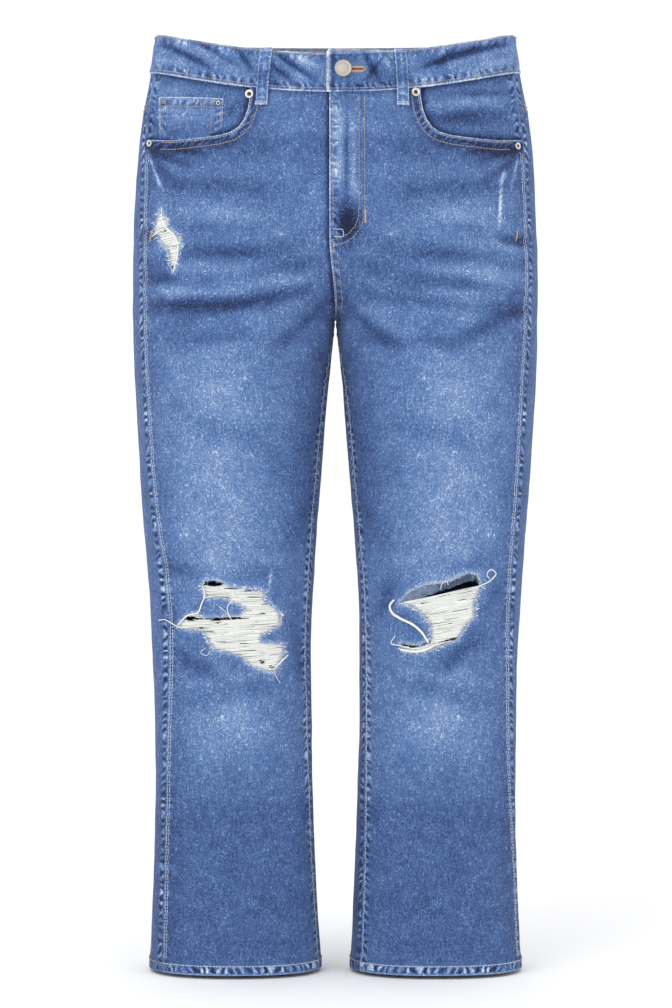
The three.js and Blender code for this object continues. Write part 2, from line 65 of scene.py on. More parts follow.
# Level, half width, half gap between the legs, depth in front, depth behind, then how far the side seam and
# the inseam lie in front of the outline, on the right leg and on the left.
STATIONS = np.array([
    [25, 181, 0, 70, 75, 5, 0, 6, 0],
    [0, 186.5, 0, 72, 79, 5, 0, 7, 0],
    [-45, 193, 0, 77, 86, 6, 0, 9, 0],
    [-85, 200.5, 0, 82, 95, 7, 0, 11, 0],
    [-140, 206.5, 0, 88, 105, 11, 0, 12, 0],
    [-225, 210.5, 0, 92, 112, 14, 0, 13, 0],
    [-296, 210.5, 0.4, 91, 104, 15, 0, 14, 0],
    [-370, 207.8, 7.8, 86, 90, 15, 3, 16, 3],
    [-480, 201, 16.5, 75, 76, 16, 5, 15, 5],
    [-600, 192, 24.5, 60, 62, 21, 5, 13, 6],
    [-740, 187.7, 24, 55, 66, 15, 4, 8, 7],
    [-860, 189, 20.4, 58, 65, 14, 3, 4, 9],
    [-967, 193.3, 15, 62, 64, 16, 2, 4, 11],
])
HALF, GAP, FRONT, BACK, SIDE_SEAM, INSEAM = range(1, 7)
LEFT_SEAMS = 2


def smooth(t):
    t = np.clip(t, 0, 1)
    return t * t * (3 - 2 * t)


def bell(distance, width):
    return np.exp(-(np.asarray(distance) / width) ** 2)


def station(column, level):
    """A column of the stations at any level, as a cubic through them."""
    levels, values = STATIONS[:, 0], STATIONS[:, column]
    ends = np.arange(len(levels))
    before, after = np.maximum(ends - 1, 0), np.minimum(ends + 1, len(levels) - 1)
    slopes = (values[after] - values[before]) / (levels[after] - levels[before])
    i = np.clip(np.searchsorted(-levels, -level, side="right") - 1, 0, len(levels) - 2)
    span = levels[i + 1] - levels[i]
    t = (level - levels[i]) / span
    start = (1 + 2 * t) * (1 - t) ** 2 * values[i] + t * (1 - t) ** 2 * span * slopes[i]
    return start + t * t * (3 - 2 * t) * values[i + 1] + t * t * (t - 1) * span * slopes[i + 1]


def angle_at(share):
    return np.arccos(np.sign(share) * np.abs(share) ** (ROUNDNESS / 2))


def oval(middle, half, front, back, angle):
    c, s = np.cos(angle), np.sin(angle)
    across = np.sign(c) * half * np.abs(c) ** (2 / ROUNDNESS)
    return middle + across, np.where(s > 0, -front, back) * np.abs(s) ** (2 / ROUNDNESS)


class Form:
    """The form under one quarter of the garment. u runs from the side seam, 0, to the centre seam or inseam,
    1, in equal lengths of cloth, and a level is a height."""

    def __init__(self, side, face, centre=None, lowest=HEM - 2):
        near_crotch = np.arange(CROTCH - 2, CROTCH + 8, 0.5)
        levels = np.unique(np.concatenate([np.arange(HEM - 2, 14, 2.0), near_crotch]))
        self.levels = levels[levels >= lowest]
        self.side, self.in_front = side, face == "front"
        # How wide a pattern is drawn for u from 0 to 1, so that its triangles come out even.
        self.width = 210 if face == "front" else 280
        level = self.levels[:, None]
        half, gap = station(HALF, level), np.maximum(0, station(GAP, level))
        shift = LEFT_SEAMS if side > 0 else 0
        side_seam = station(SIDE_SEAM + shift, level)
        inseam = np.maximum(0, station(INSEAM + shift, level))
        front, back = station(FRONT, level), station(BACK, level)
        leg_half, leg_middle = (half - gap) / 2, (half + gap) / 2
        if centre is None:
            centre = -side * FLY_OFFSET * smooth((level - CROTCH) / (RISE_TOP - CROTCH))
        torso_start = angle_at((half - side_seam) / half)
        leg_start = angle_at((leg_half - side_seam) / leg_half)
        inner = angle_at(-(leg_half - inseam) / leg_half)
        torso_end = angle_at(centre / half) if self.in_front else -math.pi / 2
        leg_end = inner if self.in_front else inner - 2 * math.pi
        f = np.linspace(0, 1, 121)[None, :]
        torso = oval(0, half, front, back, torso_start + (torso_end - torso_start) * f)
        leg = oval(leg_middle, leg_half, front, back, leg_start + (leg_end - leg_start) * f)
        s = np.clip((RISE_TOP - level) / (RISE_TOP - CROTCH), 0, 1)
        at_centre = 1 - np.sqrt(1 - s * s)
        at_thigh = smooth((THIGH_TOP - level) / (THIGH_TOP - THIGH_FULL))
        share = at_thigh + (at_centre - at_thigh) * f ** 6
        x = side * (torso[0] + (leg[0] - torso[0]) * share)
        y = torso[1] + (leg[1] - torso[1]) * share
        steps = np.hypot(np.diff(x, axis=1), np.diff(y, axis=1))
        run = np.concatenate([np.zeros((len(x), 1)), np.cumsum(steps, axis=1)], axis=1)
        self.girth = run[:, -1]
        self.shares = np.linspace(0, 1, 161)
        self.points = np.empty((len(x), len(self.shares), 3))
        for i, even in enumerate(run / run[:, -1:]):
            self.points[i, :, 0] = np.interp(self.shares, even, x[i])
            self.points[i, :, 1] = np.interp(self.shares, even, y[i])
        self.points[:, :, 2] = level
        self.find_normals(side if not self.in_front else -side)

    def find_normals(self, turn):
        across = np.gradient(self.points, self.shares, axis=1)
        up = np.gradient(self.points, self.levels, axis=0)
        normals = turn * np.cross(across, up)
        self.normals = normals / np.linalg.norm(normals, axis=2, keepdims=True)

    def lay(self, u, level):
        """Points and outward normals at u and level, carried straight on past both seams."""
        u, level = np.broadcast_arrays(np.asarray(u, float), np.asarray(level, float))
        row = np.interp(level, self.levels, np.arange(len(self.levels)))
        column = u * (len(self.shares) - 1)
        i = np.clip(row.astype(int), 0, len(self.levels) - 2)
        j = np.clip(np.floor(column).astype(int), 0, len(self.shares) - 2)
        a, b = (row - i)[..., None], (column - j)[..., None]
        found = []
        for field in (self.points, self.normals):
            low = field[i, j] * (1 - b) + field[i, j + 1] * b
            high = field[i + 1, j] * (1 - b) + field[i + 1, j + 1] * b
            found.append(low * (1 - a) + high * a)
        found[1] /= np.linalg.norm(found[1], axis=-1, keepdims=True)
        return found

    def u_at(self, x, level):
        """Where the cloth stands at x, seen from the front or the back."""
        row = int(round(np.interp(level, self.levels, np.arange(len(self.levels)))))
        xs = self.points[row, :, 0] * self.side
        reach = int(np.argmax(xs))
        wanted = x * self.side
        if wanted >= xs[reach] and reach == 0:
            return -(wanted - xs[0]) / self.girth[row]
        return float(np.interp(-wanted, -xs[reach:], self.shares[reach:]))

    def girth_at(self, level):
        return np.interp(level, self.levels, self.girth)


def waist_top(form, u):
    """The top edge of the waistband at u."""
    points, _ = form.lay(u, -20.0)
    share = np.minimum(1, np.abs(points[..., 0]) / station(HALF, -20.0))
    return np.where(points[..., 1] > 0, BACK_RISE, -FRONT_DIP) * (1 - share * share)


def inside(loop, points):
    """Which points lie inside a closed loop."""
    hit = np.zeros(len(points), bool)
    x, y = points[:, 0], points[:, 1]
    for (x0, y0), (x1, y1) in zip(loop, np.roll(loop, -1, axis=0)):
        if y0 != y1:
            crosses = (y0 > y) != (y1 > y)
            hit ^= crosses & (x < (x1 - x0) * (y - y0) / (y1 - y0) + x0)
    return hit


def divided(line, spacing, closed=True):
    """A line with its corners kept and its edges divided into equal steps."""
    line = np.asarray(line, float)
    ends = np.roll(line, -1, axis=0) if closed else line[1:]
    found = []
    for start, end in zip(line, ends):
        count = max(1, math.ceil(np.linalg.norm(end - start) / spacing))
        found += [start + (end - start) * k / count for k in range(count)]
    if not closed:
        found.append(line[-1])
    return np.array(found)


def nearest(line, points):
    """How far each point is from the nearest of a line's points."""
    tree = KDTree(len(line))
    for k, spot in enumerate(line):
        tree.insert((spot[0], spot[1], 0), k)
    tree.balance()
    return np.array([tree.find((a, b, 0))[2] for a, b in points])


def triangulate(outline, holes, spacing):
    """Fills a flat pattern with even triangles. Returns its points, its triangles and its holes' points."""
    borders = [divided(outline, spacing)] + [divided(hole, min(spacing, 1.6)) for hole in holes]
    flat = np.concatenate(borders)
    low, high = flat.min(axis=0), flat.max(axis=0)
    grid = []
    for k, row in enumerate(np.arange(low[1] + spacing / 2, high[1], spacing * 0.87)):
        across = np.arange(low[0] + spacing * (0.3 + 0.5 * (k % 2)), high[0], spacing)
        grid.append(np.column_stack([across, np.full(len(across), row)]))
    grid = np.concatenate(grid)
    keep = inside(outline, grid) & (nearest(flat, grid) > 0.55 * spacing)
    for hole in holes:
        keep &= ~inside(hole, grid)
    points = np.concatenate([flat, grid[keep]])
    edges, first = [], 0
    for border in borders:
        count = len(border)
        edges += [(first + k, first + (k + 1) % count) for k in range(count)]
        first += count
    made = delaunay_2d_cdt([Vector(p) for p in points.tolist()], edges, [], 0, 1e-5, False)
    points, triangles = np.array([tuple(v) for v in made[0]]), np.array(made[2])
    middles = points[triangles].mean(axis=1)
    keep = inside(outline, middles)
    for hole in holes:
        keep &= ~inside(hole, middles)
    return points, triangles[keep], np.concatenate(borders[1:]) if holes else None


def to_linear(colour):
    """An sRGB hex colour as the linear RGBA that shaders take."""
    parts = [int(colour[k:k + 2], 16) / 255 for k in (1, 3, 5)]
    return (*[p / 12.92 if p <= 0.04045 else ((p + 0.055) / 1.055) ** 2.4 for p in parts], 1.0)


def add_node(tree, kind, sockets=None, **settings):
    """Adds a node with its settings. A socket's value is a number, a colour or another node's output."""
    made = tree.nodes.new(kind)
    for key, value in settings.items():
        setattr(made, key, value)
    for key, value in (sockets or {}).items():
        if isinstance(value, bpy.types.NodeSocket):
            tree.links.new(value, made.inputs[key])
        else:
            made.inputs[key].default_value = value
    return made


def set_stops(ramp, stops):
    """Gives a colour ramp its stops, each a place and an sRGB hex colour."""
    elements = ramp.color_ramp.elements
    while len(elements) < len(stops):
        elements.new(0.5)
    for element, (place, colour) in zip(elements, stops):
        element.position = place
        element.color = to_linear(colour)


def new_material(name):
    material = bpy.data.materials.new(name)
    material.use_nodes = True
    tree = material.node_tree
    return material, tree, tree.nodes["Principled BSDF"]


def add_scaled(tree, total, value, amount, middle=0.5):
    """A node for total + (value - middle) * amount."""
    moved = add_node(tree, "ShaderNodeMath", {0: value, 1: middle}, operation="SUBTRACT").outputs[0]
    sums = {0: moved, 1: amount, 2: total}
    return add_node(tree, "ShaderNodeMath", sums, operation="MULTIPLY_ADD").outputs[0]


def woven_denim(name, stops, contrast):
    """Right-hand twill denim. Its colour follows how worn it is and the light and shade painted on it, from
    the dark warp to the bare weft.
    """
    material, tree, shader = new_material(name)
    cut = add_node(tree, "ShaderNodeUVMap", uv_map="cut").outputs["UV"]
    fade, shade, raw, seam, run, edge, rim = (
        add_node(tree, "ShaderNodeAttribute", attribute_name=key).outputs["Fac"]
        for key in ("fade", "shade", "raw", "seam", "run", "edge", "rim"))
    drawn = add_node(tree, "ShaderNodeMapping", {"Vector": cut, "Scale": (1.0, 0.12, 1.0)}).outputs["Vector"]
    # The warp's uneven dye shows as a mottle of about 3 mm, which is coarser than the 0.6 mm yarns, over
    # blotches of 30 mm, and slubs run along it. Paler yarns wind over the washed cloth in thin curls, 4 to
    # 6 mm apart.
    mottle, blotch, slub, wander, uneven = (
        add_node(tree, "ShaderNodeTexNoise", {
            "Vector": vector, "Scale": scale, "Detail": detail, "Roughness": roughness,
            "Distortion": distortion}).outputs["Fac"]
        for vector, scale, detail, roughness, distortion in (
            (cut, 300.0, 4.0, 0.6, 2.4), (cut, 34.0, 4.0, 0.5, 0.0), (drawn, 620.0, 2.0, 0.5, 0.0),
            (cut, 165.0, 1.0, 0.5, 1.8), (cut, 62.0, 3.0, 0.5, 0.0)))
    # The twill line: 0.9 mm from wale to wale in the cloth, drawn at 1.6 mm so that it shows.
    turned = add_node(tree, "ShaderNodeMapping", {"Vector": cut, "Rotation": (0.0, 0.0, 1.1)})
    twill = add_node(tree, "ShaderNodeTexWave", {
        "Vector": turned.outputs["Vector"], "Scale": 196.0, "Distortion": 2.5, "Detail": 2.0,
        "Detail Scale": 2.0}).outputs["Fac"]
    off_line = add_scaled(tree, 0.0, wander, 1.0)
    off_line = add_node(tree, "ShaderNodeMath", {0: off_line}, operation="ABSOLUTE").outputs[0]
    curl = add_node(tree, "ShaderNodeMapRange", {
        "Value": off_line, "From Max": 0.032, "To Min": 1.0, "To Max": 0.0}).outputs["Result"]
    # A washed seam rubs pale on its puckers and keeps its dye between them, every 7 mm or so, between 2 and
    # 11 mm from the seam, and its very edge rubs white.
    phase = add_node(tree, "ShaderNodeMath", {0: run, 1: 0.7, 2: 0.0}, operation="MULTIPLY_ADD").outputs[0]
    phase = add_scaled(tree, phase, uneven, 17.0)
    phase = add_node(tree, "ShaderNodeMath", {0: seam, 1: 0.2, 2: phase}, operation="MULTIPLY_ADD").outputs[0]
    wave = add_node(tree, "ShaderNodeMath", {0: phase}, operation="SINE").outputs[0]
    patchy = add_node(tree, "ShaderNodeMapRange", {
        "Value": blotch, "From Min": 0.36, "From Max": 0.62, "To Min": 0.35,
        "To Max": 1.25}).outputs["Result"]
    wave = add_node(tree, "ShaderNodeMath", {0: wave, 1: patchy}, operation="MULTIPLY").outputs[0]
    rise = add_node(tree, "ShaderNodeMapRange", {
        "Value": seam, "From Min": 1.2, "From Max": 3.2}, interpolation_type="SMOOTHSTEP").outputs["Result"]
    fall = add_node(tree, "ShaderNodeMapRange", {
        "Value": seam, "From Min": 6.0, "From Max": 11.0, "To Min": 1.0, "To Max": 0.0},
        interpolation_type="SMOOTHSTEP").outputs["Result"]
    pucker = add_node(tree, "ShaderNodeMath", {0: rise, 1: fall}, operation="MULTIPLY").outputs[0]
    pucker = add_node(tree, "ShaderNodeMath", {0: pucker, 1: edge}, operation="MULTIPLY").outputs[0]
    rim_line = add_node(tree, "ShaderNodeMapRange", {
        "Value": seam, "From Min": 0.7, "From Max": 1.7, "To Min": 1.0, "To Max": 0.0}).outputs["Result"]
    rim_line = add_node(tree, "ShaderNodeMath", {0: rim_line, 1: rim}, operation="MULTIPLY").outputs[0]
    rubbed = add_node(tree, "ShaderNodeMath", {0: wave, 1: pucker}, operation="MULTIPLY").outputs[0]
    rough_edge = add_scaled(tree, 0.55, mottle, 0.9)
    frayed = add_node(tree, "ShaderNodeMath", {0: rough_edge, 1: raw}, operation="MULTIPLY").outputs[0]
    # How pale the cloth is: what acts on it, how strongly, and the value at which that changes nothing.
    # Painted shade darkens it, and wear and painted highlight lighten it.
    total = 0.5
    for value, amount, middle in (
            (mottle, contrast, 0.5), (blotch, 0.26, 0.5), (slub, 0.3, 0.5), (twill, 0.06, 0.5),
            (fade, 0.5, 0.0), (shade, -0.5, 0.0), (curl, 0.36, 0.25), (rubbed, 0.34, 0.0),
            (rim_line, 0.42, 0.0), (frayed, 0.95, 0.0)):
        total = add_scaled(tree, total, value, amount, middle)
    ramp = add_node(tree, "ShaderNodeValToRGB", {"Fac": total})
    set_stops(ramp, stops)
    relief = mottle
    for value, amount, middle in (
            (twill, 0.45, 0.5), (slub, 0.5, 0.5), (rubbed, 0.9, 0.0), (curl, 0.25, 0.0)):
        relief = add_scaled(tree, relief, value, amount, middle)
    bump = add_node(tree, "ShaderNodeBump", {"Height": relief, "Strength": 0.6, "Distance": 0.0006})
    rough = add_node(tree, "ShaderNodeMapRange", {"Value": mottle, "To Min": 0.78, "To Max": 0.98})
    tree.links.new(ramp.outputs["Color"], shader.inputs["Base Color"])
    tree.links.new(rough.outputs["Result"], shader.inputs["Roughness"])
    tree.links.new(bump.outputs["Normal"], shader.inputs["Normal"])
    shader.inputs["Specular IOR Level"].default_value = 0.25
    shader.inputs["Sheen Weight"].default_value = 0.08
    shader.inputs["Sheen Roughness"].default_value = 0.6
    return material


# Stone-washed indigo: painted shade gives the darkest blues in folds and hollows, where the creases also keep
# their dye, mid blue on flat cloth, and the white weft where rubbed.
stone_washed = woven_denim("stone_washed_denim", [
    (0.0, "#101b3c"), (0.22, "#2c4374"), (0.5, "#4f70a4"), (0.72, "#7b96bf"), (0.9, "#b3c1da"),
    (1.0, "#e6e9ea")], 0.8)
# The cloth's reverse shows mostly undyed weft, so it is a pale grey blue.
reverse_side = woven_denim("denim_reverse", [
    (0.0, "#3c4a66"), (0.4, "#76869f"), (0.7, "#9aa6b8"), (1.0, "#c9cfd6")], 0.5)
# Cut warp ends at a torn edge are nearly white.
torn_edge = woven_denim("torn_denim_edge", [(0.0, "#8fa3c4"), (0.5, "#ccd5e2"), (1.0, "#eef0ee")], 0.5)
CLOTH_MATERIALS = (stone_washed, reverse_side, torn_edge)
SURFACES = {}


def crease_field(points, creases):
    """Soft troughs and ridges. Each runs between two places, seen from the front, with a width and a height,
    and dies away at both ends."""
    found = np.zeros(len(points))
    flat = points[:, [0, 2]]
    for x0, z0, x1, z1, width, height in creases:
        start, run = np.array([x0, z0]), np.array([x1 - x0, z1 - z0])
        t = np.clip((flat - start) @ run / (run @ run), 0, 1)
        away = np.linalg.norm(flat - start - t[:, None] * run, axis=1)
        ends = 0.25 + 0.75 * np.sin(math.pi * np.clip(t, 0.02, 0.98)) ** 0.7
        found += height * ends * bell(away, width)
    return found


def rippled(points, size, seed):
    """Gentle unevenness of cloth that hangs free, with waves of the given size."""
    return np.array([noise.noise(Vector(spot)) for spot in (points / size + seed).tolist()])


def finish_piece(name, mesh, slot="denim", replaced=()):
    piece = bpy.data.objects.new(name, mesh)
    bpy.context.scene.collection.objects.link(piece)
    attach(piece, "root")
    if replaced:
        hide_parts(*replaced)
    return piece


def make_cloth(name, form, pattern, out, wall, wear_and_shading, replaced=(), raw_holes=False):
    """Lays a flat pattern on a form as a wall of cloth. out says how far its outer face stands from the form,
    and its wear function how faded, edge-rubbed and frayed it is, and where light and shade are painted on
    it."""
    flat, triangles, hole_points = triangulate(*pattern)
    u, level = flat[:, 0] / form.width, flat[:, 1]

    def surface(u, level):
        points, normals = form.lay(u, level)
        return points + normals * np.broadcast_to(out(points, u, level), len(points))[:, None], normals

    SURFACES[name] = surface
    outer, normals = surface(u, level)
    points, _ = form.lay(u, level)
    count = len(outer)
    a, b, c = (outer[triangles[:, k]] for k in range(3))
    facing = np.einsum("ij,ij->i", np.cross(b - a, c - a), normals[triangles[:, 0]])
    triangles[facing < 0] = triangles[facing < 0][:, ::-1]
    pairs = np.concatenate([triangles[:, [0, 1]], triangles[:, [1, 2]], triangles[:, [2, 0]]])
    pairs = np.sort(pairs, axis=1)
    unique, uses = np.unique(pairs, axis=0, return_counts=True)
    border = {tuple(edge) for edge in unique[uses == 1].tolist()}
    at_hole = nearest(hole_points, flat) < 0.5 if raw_holes else np.zeros(count, bool)
    rims, rim_slots = [], []
    for corner in triangles.tolist():
        for p, q in zip(corner, corner[1:] + corner[:1]):
            if (min(p, q), max(p, q)) in border:
                rims.append((q, p, p + count, q + count))
                rim_slots.append(2 if at_hole[p] and at_hole[q] else 0)
    faces = triangles.tolist() + (triangles[:, ::-1] + count).tolist() + rims
    mesh = bpy.data.meshes.new(name)
    mesh.from_pydata((np.concatenate([outer, outer - normals * wall]) * MM).tolist(), [], faces)
    slots = np.concatenate([np.zeros(len(triangles)), np.ones(len(triangles)), rim_slots]).astype(int)
    mesh.polygons.foreach_set("material_index", slots)
    mesh.polygons.foreach_set("use_smooth", np.ones(len(faces), bool))
    for material in CLOTH_MATERIALS:
        mesh.materials.append(material)
    along = np.column_stack([u * form.girth_at(level), level]) * MM
    corners = np.empty(len(mesh.loops), int)
    mesh.loops.foreach_get("vertex_index", corners)
    mesh.uv_layers.new(name="cut").data.foreach_set("uv", along[corners % count].ravel())
    for key, values in wear_and_shading(points, u, level).items():
        made = mesh.attributes.new(key, "FLOAT", "POINT")
        made.data.foreach_set("value", np.tile(np.broadcast_to(values, count), 2).astype(np.float32))
    ends = np.empty(len(mesh.edges) * 2, int)
    mesh.edges.foreach_get("vertices", ends)
    ends = np.sort(ends.reshape(-1, 2) % count, axis=1)
    sharp = mesh.attributes.new("sharp_edge", "BOOLEAN", "EDGE")
    sharp.data.foreach_set("value", np.array([tuple(e) in border for e in ends.tolist()]))
    mesh.update()
    return finish_piece(name, mesh, "denim", replaced)


FRONT_FORMS = {key: Form(side, "front") for key, side in SIDES.items()}
BACK_FORMS = {key: Form(side, "back") for key, side in SIDES.items()}


def on_pattern(form, outline):
    """An outline given as seen from the front or back, as pattern points."""
    return np.array([(form.u_at(x, level) * form.width, level) for x, level in outline])


def for_side(side, outline):
    """An outline drawn for the wearer's left, on either side."""
    return [(side * x, level) for x, level in outline]


# The edge of the front pocket's mouth on the wearer's left, from the waistband to past the side seam.
MOUTH_EDGE = [
    (85.5, -56), (86.5, -74), (88.5, -86), (92.5, -97), (98, -104.5), (106, -109.5), (118, -112.5),
    (134, -114), (150, -115), (166, -115.3), (180, -114), (192, -112)]
MOUTH_LINES = {
    key: divided(np.array(for_side(side, MOUTH_EDGE)), 1.0, closed=False) for key, side in SIDES.items()}
MOUTH_BAND = 10
KNEE_RIP_RIGHT = [
    (-134, -576), (-135, -570), (-133, -565), (-124, -564), (-114, -567), (-108, -571), (-92, -573),
    (-72, -576), (-74, -585), (-62, -593), (-57, -600), (-58, -611), (-76, -620), (-77, -628), (-54, -630),
    (-53, -640), (-63, -658), (-79, -654), (-86, -651), (-97, -641), (-123, -634), (-129, -626), (-134, -616),
    (-162, -613), (-158, -607), (-150, -600), (-141, -598), (-137, -602.5), (-118, -602), (-98, -600),
    (-92, -596), (-92, -591), (-104, -586), (-112, -582), (-130, -581)]
KNEE_RIP_LEFT = [
    (65, -588), (76, -576), (91, -569), (108, -567), (118, -565), (126, -561), (136, -557), (144, -559),
    (148, -570), (141, -586), (141, -602), (131, -612), (125, -624), (107, -631), (90, -638), (72, -637),
    (66, -629), (86, -631), (99, -624), (98, -609), (90, -599), (80, -590)]
HIP_RIP_RIGHT = [
    (-178, -186), (-182, -196), (-187, -208), (-181, -213), (-175, -222), (-169, -229), (-167, -240),
    (-166, -252), (-162, -240), (-159, -231), (-157, -221), (-163, -211), (-170, -205), (-173, -196)]
RIPS = {"right": [KNEE_RIP_RIGHT, HIP_RIP_RIGHT], "left": [KNEE_RIP_LEFT]}


def torn(loop, seed):
    """A torn edge: the loop divided finely and pushed in and out by the broken threads."""
    fine = divided(loop, 1.5)
    push = [[noise.noise(Vector((a * 0.3, b * 0.7, seed))), noise.noise(Vector((a * 0.3, b * 0.9, seed + 9)))]
            for a, b in fine]
    return fine + np.array(push) * [2.1, 1.3]


# Creases that the cloth holds: the fans below the pocket corners, the whiskers that sweep across the hips to
# the crotch, the pinches at the side seams and the soft folds round the knees.
FRONT_CREASES = {
    "right": [
        (-196, -124, -150, -141, 4, -2.0), (-192, -132, -156, -164, 5, -1.5),
        (-190, -119, -132, -131, 4, -1.4), (-199, -205, -170, -212, 4.5, -2.4),
        (-200, -255, -160, -255, 7, -2.4), (-200, -282, -110, -286, 7, -2.2),
        (-196, -268, -150, -270, 6, 1.7),
        (-190, -160, -60, -168, 9, -1.2), (-182, -184, -40, -202, 9, 1.1),
        (-150, -228, -20, -241, 9, -1.3), (-150, -262, -22, -258, 9, 0.9), (-170, -303, -30, -266, 8, -1.7),
        (-165, -322, -50, -316, 8, -1.4), (-140, -338, -40, -300, 9, 0.9), (-60, -330, -8, -280, 6, -1.4),
        (-190, -545, -130, -560, 8, -1.4), (-60, -555, -110, -562, 8, -1.0),
        (-165, -640, -110, -668, 9, -1.5), (-150, -690, -60, -672, 10, -1.1), (-45, -600, -30, -680, 7, -1.0),
        (-178, -596, -166, -616, 5, -1.2),
        (-150, -400, -60, -430, 16, -0.9)],
    "left": [
        (192, -122, 148, -137, 4, -2.1), (188, -130, 152, -160, 5, -1.7), (180, -120, 132, -131, 4, -1.4),
        (200, -219, 166, -217, 4.5, -2.8), (200, -286, 150, -282, 7, -1.6), (185, -162, 60, -170, 9, -1.2),
        (180, -186, 50, -204, 9, 1.1), (160, -232, 20, -243, 9, -1.3), (197, -286, 120, -322, 8, -1.8),
        (130, -326, 30, -318, 8, -1.5), (150, -262, 20, -268, 8, -1.1), (110, -340, 20, -284, 8, 0.9),
        (60, -330, 8, -280, 6, -1.4), (160, -545, 110, -552, 8, -1.2), (60, -560, 45, -600, 7, -1.2),
        (150, -620, 110, -655, 9, -1.5), (150, -690, 70, -670, 10, -1.1), (172, -560, 155, -600, 7, -1.1),
        (60, -400, 150, -432, 16, -0.9)],
}
# Thin white lines rubbed into the cloth below the pocket corners and above the knee.
SCUFFS = {
    "right": [
        (-195, -122, -186, -143, 1.5, 1.1), (-187, -142, -176, -166, 1.2, 0.9),
        (-184, -148, -181, -166, 1.1, 0.7), (-65, -553, -68, -574, 1.1, 0.8)],
    "left": [
        (174, -146, 170, -158, 1.7, 1.1), (170, -156, 167, -206, 1.4, 1.1), (189, -128, 183, -150, 1.3, 0.9),
        (184, -148, 180, -167, 1.1, 0.7)],
}


def front_relief(key, points):
    """How far the front of the cloth stands in or out of the smooth form."""
    height = crease_field(points, FRONT_CREASES[key])
    return height + 0.9 * rippled(points, 70, SIDES[key] * 3.0) + 0.4 * rippled(points, 17, 5.0)


def seam_pull(points, away, run):
    """Small puckers that a line of stitches draws into the cloth beside it."""
    return 0.55 * bell(away - 3, 5) * np.sin(run * 0.62 + 2.2 * rippled(points, 23, 1.0))


def front_out(key):
    side, form = SIDES[key], FRONT_FORMS[key]

    def out(points, u, level):
        height = front_relief(key, points)
        girth = form.girth_at(level)
        from_side, from_centre = u * girth, (1 - u) * girth
        # The mouth's edge is turned under twice, so it stands up as a band, and so does the hem.
        from_mouth = nearest(MOUTH_LINES[key], points[:, [0, 2]])
        height += 0.7 * smooth((MOUTH_BAND + 1.5 - from_mouth) / 2.5)
        height += 0.6 * smooth((HEM + HEM_DEPTH + 1 - level) / 1.5)
        height += seam_pull(points, from_side, level)
        height += seam_pull(points, from_centre, level) * smooth((CROTCH + 60 - level) / 20)
        height += seam_pull(points, level - HEM - HEM_DEPTH + 4, from_side)
        # The fly's facing thickens the left front between its edge and its curved stitch line.
        above = smooth((level + 232) / 10)
        if side > 0:
            fly = smooth((30 - points[:, 0]) / 5) * above
            height += 0.9 * fly + 0.8 * bell(points[:, 0] - 11, 6) * fly
            height += 0.35 * bell(from_centre, 2.5) * above
        else:
            height -= 0.7 * smooth((points[:, 0] + 16) / 8) * above
        return height

    return out


def seam_lines(*lines):
    """Of several seams and edges, the nearest to each point. Each is given as how far away it is, how far
    along it the point lies, how strongly it puckers and how pale its very edge is."""
    full = [[np.broadcast_to(value, np.shape(lines[0][0])) for value in line] for line in lines]
    first = np.argmin([line[0] for line in full], axis=0)
    picked = [np.array([line[k] for line in full])[first, np.arange(len(first))] for k in range(4)]
    return dict(zip(("seam", "run", "edge", "rim"), picked))


def leg_fade(x, level):
    """Where the thigh and the shin are rubbed pale by wear."""
    thigh = bell(np.abs(x) - 118, 48) * smooth((-290 - level) / 90) * smooth((level + 620) / 80)
    return 0.36 * thigh + 0.38 * bell(np.abs(x) - 108, 46) * bell(level + 700, 48)


